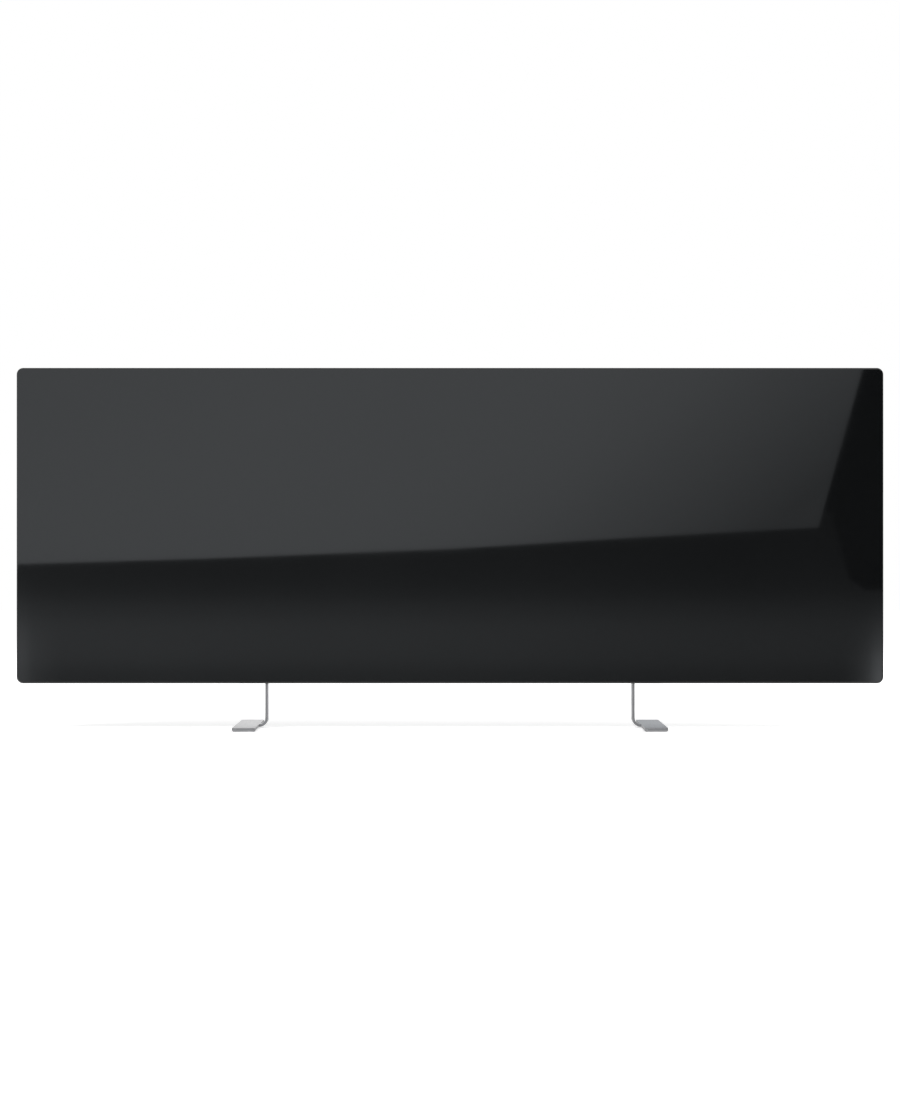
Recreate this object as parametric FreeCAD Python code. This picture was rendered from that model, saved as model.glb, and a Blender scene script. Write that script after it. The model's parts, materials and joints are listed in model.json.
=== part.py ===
import FreeCAD, Part
import math
import os

# A slim panel heater. A black glass front is bonded to a shallow housing of bent sheet, a film heater lies
# behind the glass, a control strip sits in the right side wall, and two bent steel plates are the legs.
# Lengths are in millimetres. X runs to the right as seen from the front, Y to the rear and Z up.
# The origin lies on the floor, midway between the legs and midway along the feet.

# Front glass
GLASS_WIDTH = 1000.0
GLASS_HEIGHT = 364.0
GLASS_THICKNESS = 5.0
GLASS_CORNER_RADIUS = 7.5
GLASS_EDGE_ROUND = 1.8
GROUND_CLEARANCE = 52.0
GLASS_AHEAD_OF_FEET_MIDDLE = 18.0

# Bonding bead between the glass and the housing
SEAL_THICKNESS = 1.5
SEAL_WIDTH = 8.0

# Housing frame, a ring of C-section
HOUSING_SIDE_INSET = 24.0
HOUSING_EDGE_INSET = 14.0
HOUSING_DEPTH = 28.0
HOUSING_SHEET = 1.2
HOUSING_CORNER_RADIUS = 14.0
HOUSING_BEND = 1.1
HOUSING_FLANGE = 14.0
HOUSING_OPENING_RADIUS = 6.0

# Air slots in the top and bottom walls of the housing
WALL_SLOT_LENGTH = 64.0
WALL_SLOT_WIDTH = 7.0
WALL_SLOT_BRIDGE = 14.0

# Bevel at the ends of every air slot, as a share of the slot width
SLOT_BEVEL_SHARE = 0.3

# Rear cover, a sheet with a raised field and air slots in two rows at its top and two at its bottom
COVER_SHEET = 1.0
COVER_EDGE_GAP = 2.5
COVER_CORNER_RADIUS = 12.0
FIELD_MARGIN = 15.0
FIELD_RISE = 2.5
FIELD_SLOPE = 3.0
FIELD_CORNER_RADIUS = 10.0
COVER_SLOT_LENGTH = 60.0
COVER_SLOT_WIDTH = 5.0
COVER_SLOT_BRIDGE = 16.0
COVER_SLOT_DROP = 22.0
COVER_SLOT_PITCH = 14.0
SLOT_BAY_MARGIN = 10.0

# Screws that hold the rear cover
COVER_SCREW_RADIUS = 1.75
COVER_SCREW_LENGTH = 6.0
COVER_SCREW_HEAD_RADIUS = 3.5
COVER_SCREW_HEAD_HEIGHT = 2.2
COVER_SCREWS_PER_ROW = 3
SCREW_HOLE_CLEARANCE = 0.25
THREAD_CLEARANCE = 0.06
HEAD_TOP_SHARE = 0.6

# Upright hat-section rails with keyholes for hanging on a wall
RAIL_FROM_SIDE = 226.0
RAIL_FOOT_GAP = 2.0
RAIL_WEB = 26.0
RAIL_FLANGE = 12.0
RAIL_SHEET = 1.5
KEYHOLE_ENTRY_RADIUS = 5.5
KEYHOLE_SLOT_RADIUS = 2.75
KEYHOLE_TRAVEL = 13.0
KEYHOLE_DROP = 66.0
KEYHOLE_WINDOW_MARGIN = 2.5

# Film heater and the layers behind it
FILM_MARGIN = 8.0
FILM_THICKNESS = 0.5
CONTROL_BAY = 70.0
TRACK_THICKNESS = 0.2
TRACK_PASSES = 8
TRACK_WIDTH_SHARE = 0.62
TRACK_MARGIN = 6.0
LUG_STRIP = 18.0
LUG_LENGTH = 12.0
LUG_HEIGHT = 10.0
LUG_THICKNESS = 1.0
INSULATION_THICKNESS = 6.0
REFLECTOR_SHEET = 0.5

# Legs, each one plate bent twice
LEG_PLATE = 3.0
LEG_BEND_RADIUS = 10.0
LEG_INNER_SPREAD = 421.0
STEM_DEPTH = 24.0
STEM_BEHIND_HOUSING_FRONT = 2.0
FOOT_LENGTH = 180.0
FOOT_FLANGE = 26.5
FOOT_CORNER_RADIUS = 4.0
SEAT_FLANGE = 24.0
SEAT_CORNER_RADIUS = 4.0
LEG_SCREW_SPACING = 11.0
LEG_SCREW_RADIUS = 2.0
LEG_SCREW_HEAD_RADIUS = 4.0
LEG_SCREW_HEAD_HEIGHT = 2.6
LEG_SCREW_END = 1.5
LEG_NUT_FLATS = 7.0
LEG_NUT_HEIGHT = 3.2

# Pads under the feet
PAD_THICKNESS = 1.5
PAD_LENGTH = 40.0
PAD_EDGE_GAP = 1.0
PAD_CORNER_RADIUS = 3.5

# Rocker switch
ROCKER_BODY_WIDTH = 12.8
ROCKER_BODY_HEIGHT = 19.0
ROCKER_BODY_DEPTH = 16.0
ROCKER_CORNER_RADIUS = 1.0
ROCKER_BEZEL_RIM = 1.2
ROCKER_BEZEL_THICKNESS = 1.5
ROCKER_WALL = 1.4
ROCKER_CAVITY_DEPTH = 9.0
ROCKER_FIT = 0.1
KEY_SIDE_CLEARANCE = 0.3
KEY_END_CLEARANCE = 1.1
KEY_PIVOT_DEPTH = 3.5
KEY_SADDLE_DEPTH = 0.3
KEY_SKIRT = 4.5
KEY_HUB_WIDTH = 4.8
KEY_HUB_DEPTH = 2.2
KEY_EDGE_BEVEL = 0.4
KEY_TILT_DEGREES = 10.0
TRUNNION_RADIUS = 1.2
TRUNNION_CLEARANCE = 0.06
TRUNNION_LENGTH = 0.9
BLADE_WIDTH = 4.8
BLADE_THICKNESS = 0.8
BLADE_LENGTH = 7.0
BLADE_SPACING = 9.0

# Control fascia in the right side wall
CONTROL_TOP_DROP = 30.0
FASCIA_THICKNESS = 2.5
FASCIA_CORNER_RADIUS = 4.0
FASCIA_EDGE_BEVEL = 0.8
FASCIA_LIP = 2.2
FASCIA_END_LIP = 7.0
FASCIA_SCREW_RADIUS = 1.4
FASCIA_SCREW_LENGTH = 7.0
FASCIA_SCREW_HEAD_RADIUS = 2.4
FASCIA_SCREW_HEAD_HEIGHT = 1.5
STRIP_GAP = 2.0
BOSS_RADIUS = 1.8

# Box behind the fascia
BOX_DEPTH = 40.0
BOX_WALL = 1.5
BOX_FIT = 0.2
BOX_SIDE_ROOM = 1.2
BOX_CORNER_RADIUS = 2.0
BOX_ENTRY_LENGTH = 15.0
BOX_ENTRY_RADIUS = 2.0

# Display behind its window
WINDOW_WIDTH = 14.0
WINDOW_HEIGHT = 34.0
WINDOW_THICKNESS = 1.5
WINDOW_LEDGE = 1.2
WINDOW_CORNER_RADIUS = 2.5
WINDOW_FIT = 0.1
DISPLAY_GAP = 0.2

# Control board with its parts
BOARD_STANDOFF = 9.0
BOARD_THICKNESS = 1.6
BOARD_SIDE_GAP = 0.3
BOARD_END = 12.0
TACT_SIZE = 6.0
TACT_HEIGHT = 4.0
TACT_BORE_DEPTH = 3.0
RELAY_BACK_ROOM = 5.9
RELAY_WIDTH = 12.0
RELAY_HEIGHT = 24.0

# Push buttons
BUTTON_COUNT = 3
BUTTON_WIDTH = 9.0
BUTTON_HEIGHT = 11.0
BUTTON_CORNER_RADIUS = 3.0
BUTTON_EDGE_BEVEL = 0.5
BUTTON_PROUD = 1.2
BUTTON_CLEARANCE = 0.3
BUTTON_RIM = 0.8
BUTTON_RIM_THICKNESS = 1.0
BUTTON_SEAT_GAP = 0.1
BUTTON_PIN_RADIUS = 1.6
BUTTON_PIN_CLEARANCE = 0.08
BUTTON_PIN_ENGAGEMENT = 0.8

# Cord inlet in the bottom wall
GLAND_FROM_SIDE = 76.0
GLAND_THREAD_RADIUS = 7.5
GLAND_HOLE_CLEARANCE = 0.1
GLAND_FLATS = 19.0
GLAND_COLLAR = 3.0
GLAND_NUT_HEIGHT = 4.0
GLAND_THREAD_END = 1.5
GLAND_SLEEVE_LENGTH = 7.0
GLAND_SLEEVE_WALL = 1.2
GLAND_CAP_WALL = 1.8
GLAND_CAP_END = 1.6
GLAND_CAP_BEVEL = 1.2
GLAND_CAP_LIP = 1.0
GLAND_BORE_RADIUS = 3.6
GLAND_SEAL_LENGTH = 6.0

# Terminal block, earth stud, air sensor and thermal cutout
TERMINAL_POLES = 3
TERMINAL_PITCH = 11.0
TERMINAL_DEPTH = 14.0
TERMINAL_HEIGHT = 18.0
TERMINAL_GROOVE_WIDTH = 1.2
TERMINAL_GROOVE_DEPTH = 3.0
TERMINAL_GAP = 8.0
TERMINAL_SCREW_RADIUS = 1.8
TERMINAL_SCREW_DEPTH = 1.2
EARTH_STUD_RADIUS = 2.0
EARTH_STUD_HEIGHT = 12.0
EARTH_NUT_FLATS = 7.0
EARTH_NUT_HEIGHT = 3.2
EARTH_GAP = 16.0
SENSOR_LENGTH = 14.0
SENSOR_WIDTH = 6.0
SENSOR_HEIGHT = 5.0
SENSOR_CORNER_RADIUS = 2.0
SENSOR_GAP = 20.0
CUTOUT_RADIUS = 8.0
CUTOUT_HEIGHT = 7.0
CUTOUT_RIM = 1.5
CUTOUT_RIM_THICKNESS = 1.5
CUTOUT_BLADE_REACH = 7.0
CUTOUT_RAISE = 70.0

# Leads
LEAD_RADIUS = 1.2
SENSOR_LEAD_RADIUS = 0.7
LEAD_STEP = 4.0
LEAD_SIDES = 8
LEAD_BEND_RADIUS = 6.0
LEAD_ARC_SHARE = 0.45
SWITCHED_LEAD_OUT = 15.0
SWITCHED_LEAD_RISE = 64.0
SENSOR_LEAD_RISE = 110.0
EARTH_LEAD_RISE = 11.0

# Cut overrun and the tolerance for picking edges in a plane
OVERRUN = 1.0
SNAP = 0.001

# Planes of the glass and the housing
GLASS_FRONT_Y = -GLASS_AHEAD_OF_FEET_MIDDLE
GLASS_BACK_Y = GLASS_FRONT_Y + GLASS_THICKNESS
PANEL_MID_Z = GROUND_CLEARANCE + GLASS_HEIGHT / 2
HOUSING_FRONT_Y = GLASS_BACK_Y + SEAL_THICKNESS
HOUSING_BACK_Y = HOUSING_FRONT_Y + HOUSING_DEPTH
HOUSING_MID_Y = HOUSING_FRONT_Y + HOUSING_DEPTH / 2
HOUSING_WIDTH = GLASS_WIDTH - 2 * HOUSING_SIDE_INSET
HOUSING_HEIGHT = GLASS_HEIGHT - 2 * HOUSING_EDGE_INSET
HOUSING_RIGHT_X = HOUSING_WIDTH / 2
HOUSING_BOTTOM_Z = PANEL_MID_Z - HOUSING_HEIGHT / 2
HOUSING_TOP_Z = PANEL_MID_Z + HOUSING_HEIGHT / 2
FLOOR_INSIDE_Z = HOUSING_BOTTOM_Z + HOUSING_SHEET
OPENING_WIDTH = HOUSING_WIDTH - 2 * HOUSING_FLANGE
OPENING_HEIGHT = HOUSING_HEIGHT - 2 * HOUSING_FLANGE

# Layers from the glass to the rear
TRACK_Y = GLASS_BACK_Y + FILM_THICKNESS
INSULATION_Y = TRACK_Y + TRACK_THICKNESS
REFLECTOR_Y = INSULATION_Y + INSULATION_THICKNESS
RAIL_FRONT_Y = REFLECTOR_Y + REFLECTOR_SHEET
RAIL_BACK_Y = HOUSING_BACK_Y - HOUSING_SHEET
COVER_FACE_Y = HOUSING_BACK_Y + COVER_SHEET
FILM_LEFT_X = -OPENING_WIDTH / 2 + FILM_MARGIN
FILM_RIGHT_X = OPENING_WIDTH / 2 - CONTROL_BAY
FILM_WIDTH = FILM_RIGHT_X - FILM_LEFT_X
FILM_HEIGHT = OPENING_HEIGHT - 2 * FILM_MARGIN
BOARD_WIDTH_X = FILM_WIDTH - LUG_STRIP
BOARD_MID_X = FILM_LEFT_X + BOARD_WIDTH_X / 2
TRACK_PITCH = (FILM_HEIGHT - 2 * TRACK_MARGIN) / TRACK_PASSES
TRACK_WIDTH = TRACK_PITCH * TRACK_WIDTH_SHARE
LOWEST_PASS_Z = PANEL_MID_Z - FILM_HEIGHT / 2 + TRACK_MARGIN + TRACK_PITCH / 2
HIGHEST_PASS_Z = PANEL_MID_Z + FILM_HEIGHT / 2 - TRACK_MARGIN - TRACK_PITCH / 2
LUG_MID_X = FILM_RIGHT_X - TRACK_MARGIN - LUG_LENGTH / 2
LUG_BACK_Y = INSULATION_Y + LUG_THICKNESS

# Places of the rails and the legs
RAIL_X = HOUSING_RIGHT_X - RAIL_FROM_SIDE
RAIL_HALF_WIDTH = RAIL_WEB / 2 + RAIL_FLANGE
RAIL_LIFT = LEG_NUT_HEIGHT + LEG_SCREW_END + RAIL_FOOT_GAP
KEYHOLE_ENTRY_Z = HOUSING_TOP_Z - KEYHOLE_DROP
STEM_INNER_X = LEG_INNER_SPREAD / 2
STEM_OUTER_X = STEM_INNER_X + LEG_PLATE
STEM_FRONT_Y = HOUSING_FRONT_Y + STEM_BEHIND_HOUSING_FRONT
STEM_MID_Y = STEM_FRONT_Y + STEM_DEPTH / 2
FOOT_INNER_X = STEM_INNER_X + LEG_BEND_RADIUS
FOOT_MID_X = FOOT_INNER_X + FOOT_FLANGE / 2
SEAT_BEND_X = STEM_OUTER_X - LEG_BEND_RADIUS
SEAT_END_X = SEAT_BEND_X - SEAT_FLANGE
SEAT_MID_X = SEAT_BEND_X - SEAT_FLANGE / 2

# Places along the control strip, from its top down
CUTOUT_WIDTH = ROCKER_BODY_WIDTH + 2 * (BOX_SIDE_ROOM + BOX_WALL + BOX_FIT)
FASCIA_WIDTH = CUTOUT_WIDTH + 2 * FASCIA_LIP
FASCIA_TOP_Z = HOUSING_TOP_Z - CONTROL_TOP_DROP
FASCIA_FACE_X = HOUSING_RIGHT_X + FASCIA_THICKNESS
WINDOW_TOP_Z = FASCIA_TOP_Z - FASCIA_END_LIP - BOX_WALL - STRIP_GAP
WINDOW_MID_Z = WINDOW_TOP_Z - WINDOW_HEIGHT / 2
UPPER_BOSS_Z = WINDOW_TOP_Z - WINDOW_HEIGHT - STRIP_GAP - BOSS_RADIUS
BUTTON_PITCH = BUTTON_HEIGHT + 2 * BUTTON_RIM + STRIP_GAP
FIRST_BUTTON_Z = UPPER_BOSS_Z - BOSS_RADIUS - BUTTON_PITCH / 2 - STRIP_GAP / 2
LOWER_BOSS_Z = FIRST_BUTTON_Z - (BUTTON_COUNT - 0.5) * BUTTON_PITCH - STRIP_GAP / 2 - BOSS_RADIUS
BOARD_TOP_Z = WINDOW_TOP_Z + STRIP_GAP / 2
BOARD_BOTTOM_Z = LOWER_BOSS_Z - BOARD_END
ROCKER_BEZEL_HEIGHT = ROCKER_BODY_HEIGHT + 2 * ROCKER_BEZEL_RIM
ROCKER_Z = BOARD_BOTTOM_Z - STRIP_GAP - ROCKER_BEZEL_HEIGHT / 2
FASCIA_BOTTOM_Z = ROCKER_Z - ROCKER_BEZEL_HEIGHT / 2 - STRIP_GAP - BOX_WALL - FASCIA_END_LIP
FASCIA_HEIGHT = FASCIA_TOP_Z - FASCIA_BOTTOM_Z
FASCIA_MID_Z = FASCIA_BOTTOM_Z + FASCIA_HEIGHT / 2
CUTOUT_HEIGHT_Z = FASCIA_HEIGHT - 2 * FASCIA_END_LIP
BOX_WIDTH = CUTOUT_WIDTH - 2 * BOX_FIT
BOX_HEIGHT = CUTOUT_HEIGHT_Z - 2 * BOX_FIT
BOX_BACK_X = HOUSING_RIGHT_X - BOX_DEPTH
BOX_BOTTOM_Z = FASCIA_MID_Z - BOX_HEIGHT / 2
BOARD_FACE_X = HOUSING_RIGHT_X - BOARD_STANDOFF
BOARD_BACK_X = BOARD_FACE_X - BOARD_THICKNESS
BOARD_WIDTH = BOX_WIDTH - 2 * BOX_WALL - 2 * BOARD_SIDE_GAP
RELAY_BOTTOM_Z = BOARD_BOTTOM_Z + BOARD_END
RELAY_BACK_X = BOX_BACK_X + BOX_WALL + RELAY_BACK_ROOM
KEY_PIVOT_X = FASCIA_FACE_X + ROCKER_BEZEL_THICKNESS - KEY_PIVOT_DEPTH
KEY_WIDTH = ROCKER_BODY_WIDTH - 2 * ROCKER_WALL - 2 * KEY_SIDE_CLEARANCE
ROCKER_BACK_X = FASCIA_FACE_X - ROCKER_BODY_DEPTH
BLADE_TIP_X = ROCKER_BACK_X - BLADE_LENGTH

# Places on the floor of the housing
GLAND_PLACE = HOUSING_RIGHT_X - GLAND_FROM_SIDE
GLAND_CORNER_RADIUS = GLAND_FLATS / math.sqrt(3)
TERMINAL_WIDTH = TERMINAL_POLES * TERMINAL_PITCH
TERMINAL_MID_X = GLAND_PLACE + GLAND_CORNER_RADIUS + TERMINAL_GAP + TERMINAL_WIDTH / 2
TERMINAL_TOP_Z = FLOOR_INSIDE_Z + TERMINAL_HEIGHT
EARTH_X = GLAND_PLACE - GLAND_CORNER_RADIUS - EARTH_GAP
SENSOR_X = EARTH_X - SENSOR_GAP - SENSOR_LENGTH / 2
CUTOUT_PLACE = (RAIL_X + RAIL_HALF_WIDTH + LUG_MID_X) / 2
CUTOUT_Z = HOUSING_BOTTOM_Z + CUTOUT_RAISE
CUTOUT_BACK_Y = RAIL_FRONT_Y + CUTOUT_HEIGHT

X_AXIS = FreeCAD.Vector(1, 0, 0)
Y_AXIS = FreeCAD.Vector(0, 1, 0)
Z_AXIS = FreeCAD.Vector(0, 0, 1)
PLANES = {"x": (Y_AXIS, Z_AXIS, X_AXIS), "y": (X_AXIS, Z_AXIS, Y_AXIS), "z": (X_AXIS, Y_AXIS, Z_AXIS)}


def point(x, y, z):
    return FreeCAD.Vector(x, y, z)


def line(start, end):
    return Part.LineSegment(start, end).toShape()


def arc(start, middle, end):
    return Part.Arc(start, middle, end).toShape()


def rounded_outline(plane, centre, width, height, radius):
    """Closed rectangle with round corners, square to the named axis."""
    along, across, _ = PLANES[plane]
    lean = radius * math.sqrt(0.5)
    corners = []
    for side, level in ((1, 1), (-1, 1), (-1, -1), (1, -1)):
        middle = centre + along * (side * (width / 2 - radius)) + across * (level * (height / 2 - radius))
        ends = [middle + along * (side * radius), middle + across * (level * radius)]
        if side != level:
            ends.reverse()
        bulge = middle + along * (side * lean) + across * (level * lean)
        corners.append((ends[0], bulge, ends[1]))
    edges = []
    for index, corner in enumerate(corners):
        following = corners[(index + 1) % len(corners)]
        edges.append(arc(*corner))
        edges.append(line(corner[2], following[0]))
    return Part.Wire(edges)


def rounded_block(plane, centre, width, height, radius, depth):
    """Rounded rectangle drawn out along the named axis from its base centre."""
    outline = rounded_outline(plane, centre, width, height, radius)
    return Part.Face(outline).extrude(PLANES[plane][2] * depth)


def slot_block(plane, centre, length, width, depth):
    """Slot with bevelled ends drawn out along the named axis."""
    along, across, normal = PLANES[plane]
    tip = along * (length / 2)
    shoulder = along * (length / 2 - width * SLOT_BEVEL_SHARE)
    side = across * (width / 2)
    tip_side = across * (width / 2 - width * SLOT_BEVEL_SHARE)
    corners = [shoulder + side, tip + tip_side, tip - tip_side, shoulder - side]
    corners = corners + [corner * -1 for corner in corners]
    return polygon_block([centre + corner for corner in corners], normal * depth)


def box_between(low, high):
    return Part.makeBox(high.x - low.x, high.y - low.y, high.z - low.z, low)


def rod(start, axis, radius, length):
    return Part.makeCylinder(radius, length, start, axis)


def hexagon_block(centre, flats, height):
    """Upright hexagonal prism on its base centre."""
    reach = flats / math.sqrt(3)
    corners = []
    for step in range(7):
        angle = math.radians(60 * step)
        corners.append(centre + point(reach * math.cos(angle), reach * math.sin(angle), 0))
    return Part.Face(Part.makePolygon(corners)).extrude(Z_AXIS * height)


def polygon_block(corners, sweep):
    return Part.Face(Part.makePolygon(corners + corners[:1])).extrude(sweep)


def edges_on(shape, axis, value):
    """Edges that lie in the plane where the named coordinate has this value."""
    picked = []
    for edge in shape.Edges:
        bounds = edge.BoundBox
        low = getattr(bounds, axis + "Min")
        high = getattr(bounds, axis + "Max")
        if abs(low - value) < SNAP and abs(high - value) < SNAP:
            picked.append(edge)
    return picked


def joined(shapes):
    return shapes[0].fuse(shapes[1:]).removeSplitter()


def mirrored(shape):
    return shape.mirror(point(0, 0, 0), X_AXIS)


def spread(low, high, item, bridge):
    """Middles of as many items as fit between two ends with a bridge between neighbours."""
    pitch = item + bridge
    count = int((high - low - item) // pitch) + 1
    middle = (low + high) / 2
    return [middle + (index - (count - 1) / 2) * pitch for index in range(count)]


def screw(seat, way, radius, length, head_radius, head_height):
    """Screw with a tapered head on the seat and a shank that runs the given way."""
    head = Part.makeCone(head_radius, head_radius * HEAD_TOP_SHARE, head_height, seat, way * -1)
    return head.fuse(rod(seat, way, radius, length))


def ring_section(centre, way, radius):
    """Even-sided outline of a lead, square to the way it runs."""
    side = way.cross(Y_AXIS) if abs(way.dot(Y_AXIS)) < way.Length / 2 else way.cross(X_AXIS)
    side.normalize()
    up = side.cross(way)
    up.normalize()
    corners = []
    for step in range(LEAD_SIDES + 1):
        angle = 2 * math.pi * step / LEAD_SIDES
        corners.append(centre + (side * math.cos(angle) + up * math.sin(angle)) * radius)
    return Part.makePolygon(corners)


def lead(route, radius):
    """Lead along straight runs joined by tangent arcs."""
    edges = []
    start = route[0]
    for before, corner, after in zip(route, route[1:], route[2:]):
        arriving = corner - before
        leaving = after - corner
        half_turn = arriving.getAngle(leaving) / 2
        trim = min(LEAD_BEND_RADIUS * math.tan(half_turn),
                   LEAD_ARC_SHARE * min(arriving.Length, leaving.Length))
        bend = trim / math.tan(half_turn)
        arriving.normalize()
        leaving.normalize()
        inward = leaving - arriving
        inward.normalize()
        middle = corner + inward * (bend / math.cos(half_turn) - bend)
        edges.append(line(start, corner - arriving * trim))
        edges.append(arc(corner - arriving * trim, middle, corner + leaving * trim))
        start = corner + leaving * trim
    edges.append(line(start, route[-1]))
    section = ring_section(route[0], route[1] - route[0], radius)
    return Part.Wire(edges).makePipeShell([section], True, False)


def front_glass():
    plate = rounded_block("y", point(0, GLASS_FRONT_Y, PANEL_MID_Z),
                          GLASS_WIDTH, GLASS_HEIGHT, GLASS_CORNER_RADIUS, GLASS_THICKNESS)
    plate = plate.makeFillet(GLASS_EDGE_ROUND, edges_on(plate, "Y", GLASS_FRONT_Y))
    return plate.makeChamfer(GLASS_EDGE_ROUND / 2, edges_on(plate, "Y", GLASS_BACK_Y))


def glass_seal():
    inset = (HOUSING_FLANGE - SEAL_WIDTH) / 2
    base = point(0, GLASS_BACK_Y, PANEL_MID_Z)
    outer = rounded_block("y", base, HOUSING_WIDTH - 2 * inset, HOUSING_HEIGHT - 2 * inset,
                          HOUSING_CORNER_RADIUS - inset, SEAL_THICKNESS)
    hole_base = base - Y_AXIS * OVERRUN
    hole = rounded_block("y", hole_base, OPENING_WIDTH + 2 * inset, OPENING_HEIGHT + 2 * inset,
                         HOUSING_OPENING_RADIUS, SEAL_THICKNESS + 2 * OVERRUN)
    return outer.cut(hole)


def slot_bays():
    """Stretches of the top and bottom walls that are free for air slots."""
    outer_start = RAIL_X + RAIL_HALF_WIDTH + SLOT_BAY_MARGIN
    middle_end = SEAT_END_X - SLOT_BAY_MARGIN
    left_end = HOUSING_RIGHT_X - HOUSING_CORNER_RADIUS - SLOT_BAY_MARGIN
    right_end = SENSOR_X - SENSOR_LENGTH / 2 - SLOT_BAY_MARGIN
    return [(-left_end, -outer_start), (-middle_end, middle_end), (outer_start, right_end)]


def wall_slots():
    cutters = []
    depth = HOUSING_SHEET + 2 * OVERRUN
    for low, high in slot_bays():
        for x in spread(low, high, WALL_SLOT_LENGTH, WALL_SLOT_BRIDGE):
            for z in (HOUSING_BOTTOM_Z - OVERRUN, HOUSING_TOP_Z - HOUSING_SHEET - OVERRUN):
                cutters.append(slot_block("z", point(x, HOUSING_MID_Y, z), WALL_SLOT_LENGTH,
                                          WALL_SLOT_WIDTH, depth))
    return cutters


def cover_screw_places():
    """X and Z of each rear cover screw, on the middle of the rear flange."""
    side_x = HOUSING_RIGHT_X - HOUSING_FLANGE / 2
    level = HOUSING_HEIGHT / 2 - HOUSING_FLANGE / 2
    places = []
    for index in range(COVER_SCREWS_PER_ROW):
        x = -side_x + 2 * side_x * index / (COVER_SCREWS_PER_ROW - 1)
        places.append((x, PANEL_MID_Z - level))
        places.append((x, PANEL_MID_Z + level))
    return places


def leg_screw_places():
    """X and Y of the screws that hold both legs."""
    places = []
    for x in (-SEAT_MID_X, SEAT_MID_X):
        for offset in (-LEG_SCREW_SPACING / 2, LEG_SCREW_SPACING / 2):
            places.append((x, STEM_MID_Y + offset))
    return places


def fascia_screw_heights():
    return [FASCIA_TOP_Z - FASCIA_END_LIP / 2, FASCIA_BOTTOM_Z + FASCIA_END_LIP / 2]


def housing_frame():
    ring = rounded_block("y", point(0, HOUSING_FRONT_Y, PANEL_MID_Z), HOUSING_WIDTH, HOUSING_HEIGHT,
                         HOUSING_CORNER_RADIUS, HOUSING_DEPTH)
    ring = ring.makeChamfer(HOUSING_BEND,
                            edges_on(ring, "Y", HOUSING_FRONT_Y) + edges_on(ring, "Y", HOUSING_BACK_Y))
    cavity = rounded_block("y", point(0, HOUSING_FRONT_Y + HOUSING_SHEET, PANEL_MID_Z),
                           HOUSING_WIDTH - 2 * HOUSING_SHEET, HOUSING_HEIGHT - 2 * HOUSING_SHEET,
                           HOUSING_CORNER_RADIUS - HOUSING_SHEET, HOUSING_DEPTH - 2 * HOUSING_SHEET)
    opening = rounded_block("y", point(0, HOUSING_FRONT_Y - OVERRUN, PANEL_MID_Z), OPENING_WIDTH,
                            OPENING_HEIGHT, HOUSING_OPENING_RADIUS, HOUSING_DEPTH + 2 * OVERRUN)
    through = HOUSING_SHEET + 2 * OVERRUN
    wall_x = HOUSING_RIGHT_X - HOUSING_SHEET - OVERRUN
    cutters = wall_slots()
    cutters.append(rounded_block("x", point(wall_x, HOUSING_MID_Y, FASCIA_MID_Z), CUTOUT_WIDTH,
                                 CUTOUT_HEIGHT_Z, BOX_CORNER_RADIUS, through))
    for z in fascia_screw_heights():
        cutters.append(rod(point(wall_x, HOUSING_MID_Y, z), X_AXIS,
                           FASCIA_SCREW_RADIUS + THREAD_CLEARANCE, through))
    for x, z in cover_screw_places():
        cutters.append(rod(point(x, RAIL_BACK_Y - OVERRUN, z), Y_AXIS,
                           COVER_SCREW_RADIUS + THREAD_CLEARANCE, through))
    for x, y in leg_screw_places():
        cutters.append(rod(point(x, y, HOUSING_BOTTOM_Z - OVERRUN), Z_AXIS,
                           LEG_SCREW_RADIUS + SCREW_HOLE_CLEARANCE, through))
    cutters.append(rod(point(GLAND_PLACE, HOUSING_MID_Y, HOUSING_BOTTOM_Z - OVERRUN), Z_AXIS,
                       GLAND_THREAD_RADIUS + GLAND_HOLE_CLEARANCE, through))
    return ring.cut([cavity, opening] + cutters)


def raised_field(base_y):
    """Raised middle of the rear cover, sloped all round, standing on the plane at base_y."""
    width = HOUSING_WIDTH - 2 * (COVER_EDGE_GAP + FIELD_MARGIN)
    height = HOUSING_HEIGHT - 2 * (COVER_EDGE_GAP + FIELD_MARGIN)
    low = rounded_outline("y", point(0, base_y, PANEL_MID_Z), width, height, FIELD_CORNER_RADIUS)
    high = rounded_outline("y", point(0, base_y + FIELD_RISE, PANEL_MID_Z), width - 2 * FIELD_SLOPE,
                           height - 2 * FIELD_SLOPE, FIELD_CORNER_RADIUS - FIELD_SLOPE)
    return Part.makeLoft([low, high], True, True)


def keyhole(x, start_y, depth, margin):
    """Round entry below and a narrower slot above it, widened all round by the margin."""
    entry = rod(point(x, start_y, KEYHOLE_ENTRY_Z), Y_AXIS, KEYHOLE_ENTRY_RADIUS + margin, depth)
    half = KEYHOLE_SLOT_RADIUS + margin
    neck = box_between(point(x - half, start_y, KEYHOLE_ENTRY_Z),
                       point(x + half, start_y + depth, KEYHOLE_ENTRY_Z + KEYHOLE_TRAVEL))
    end = rod(point(x, start_y, KEYHOLE_ENTRY_Z + KEYHOLE_TRAVEL), Y_AXIS, half, depth)
    return joined([entry, neck, end])


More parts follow.
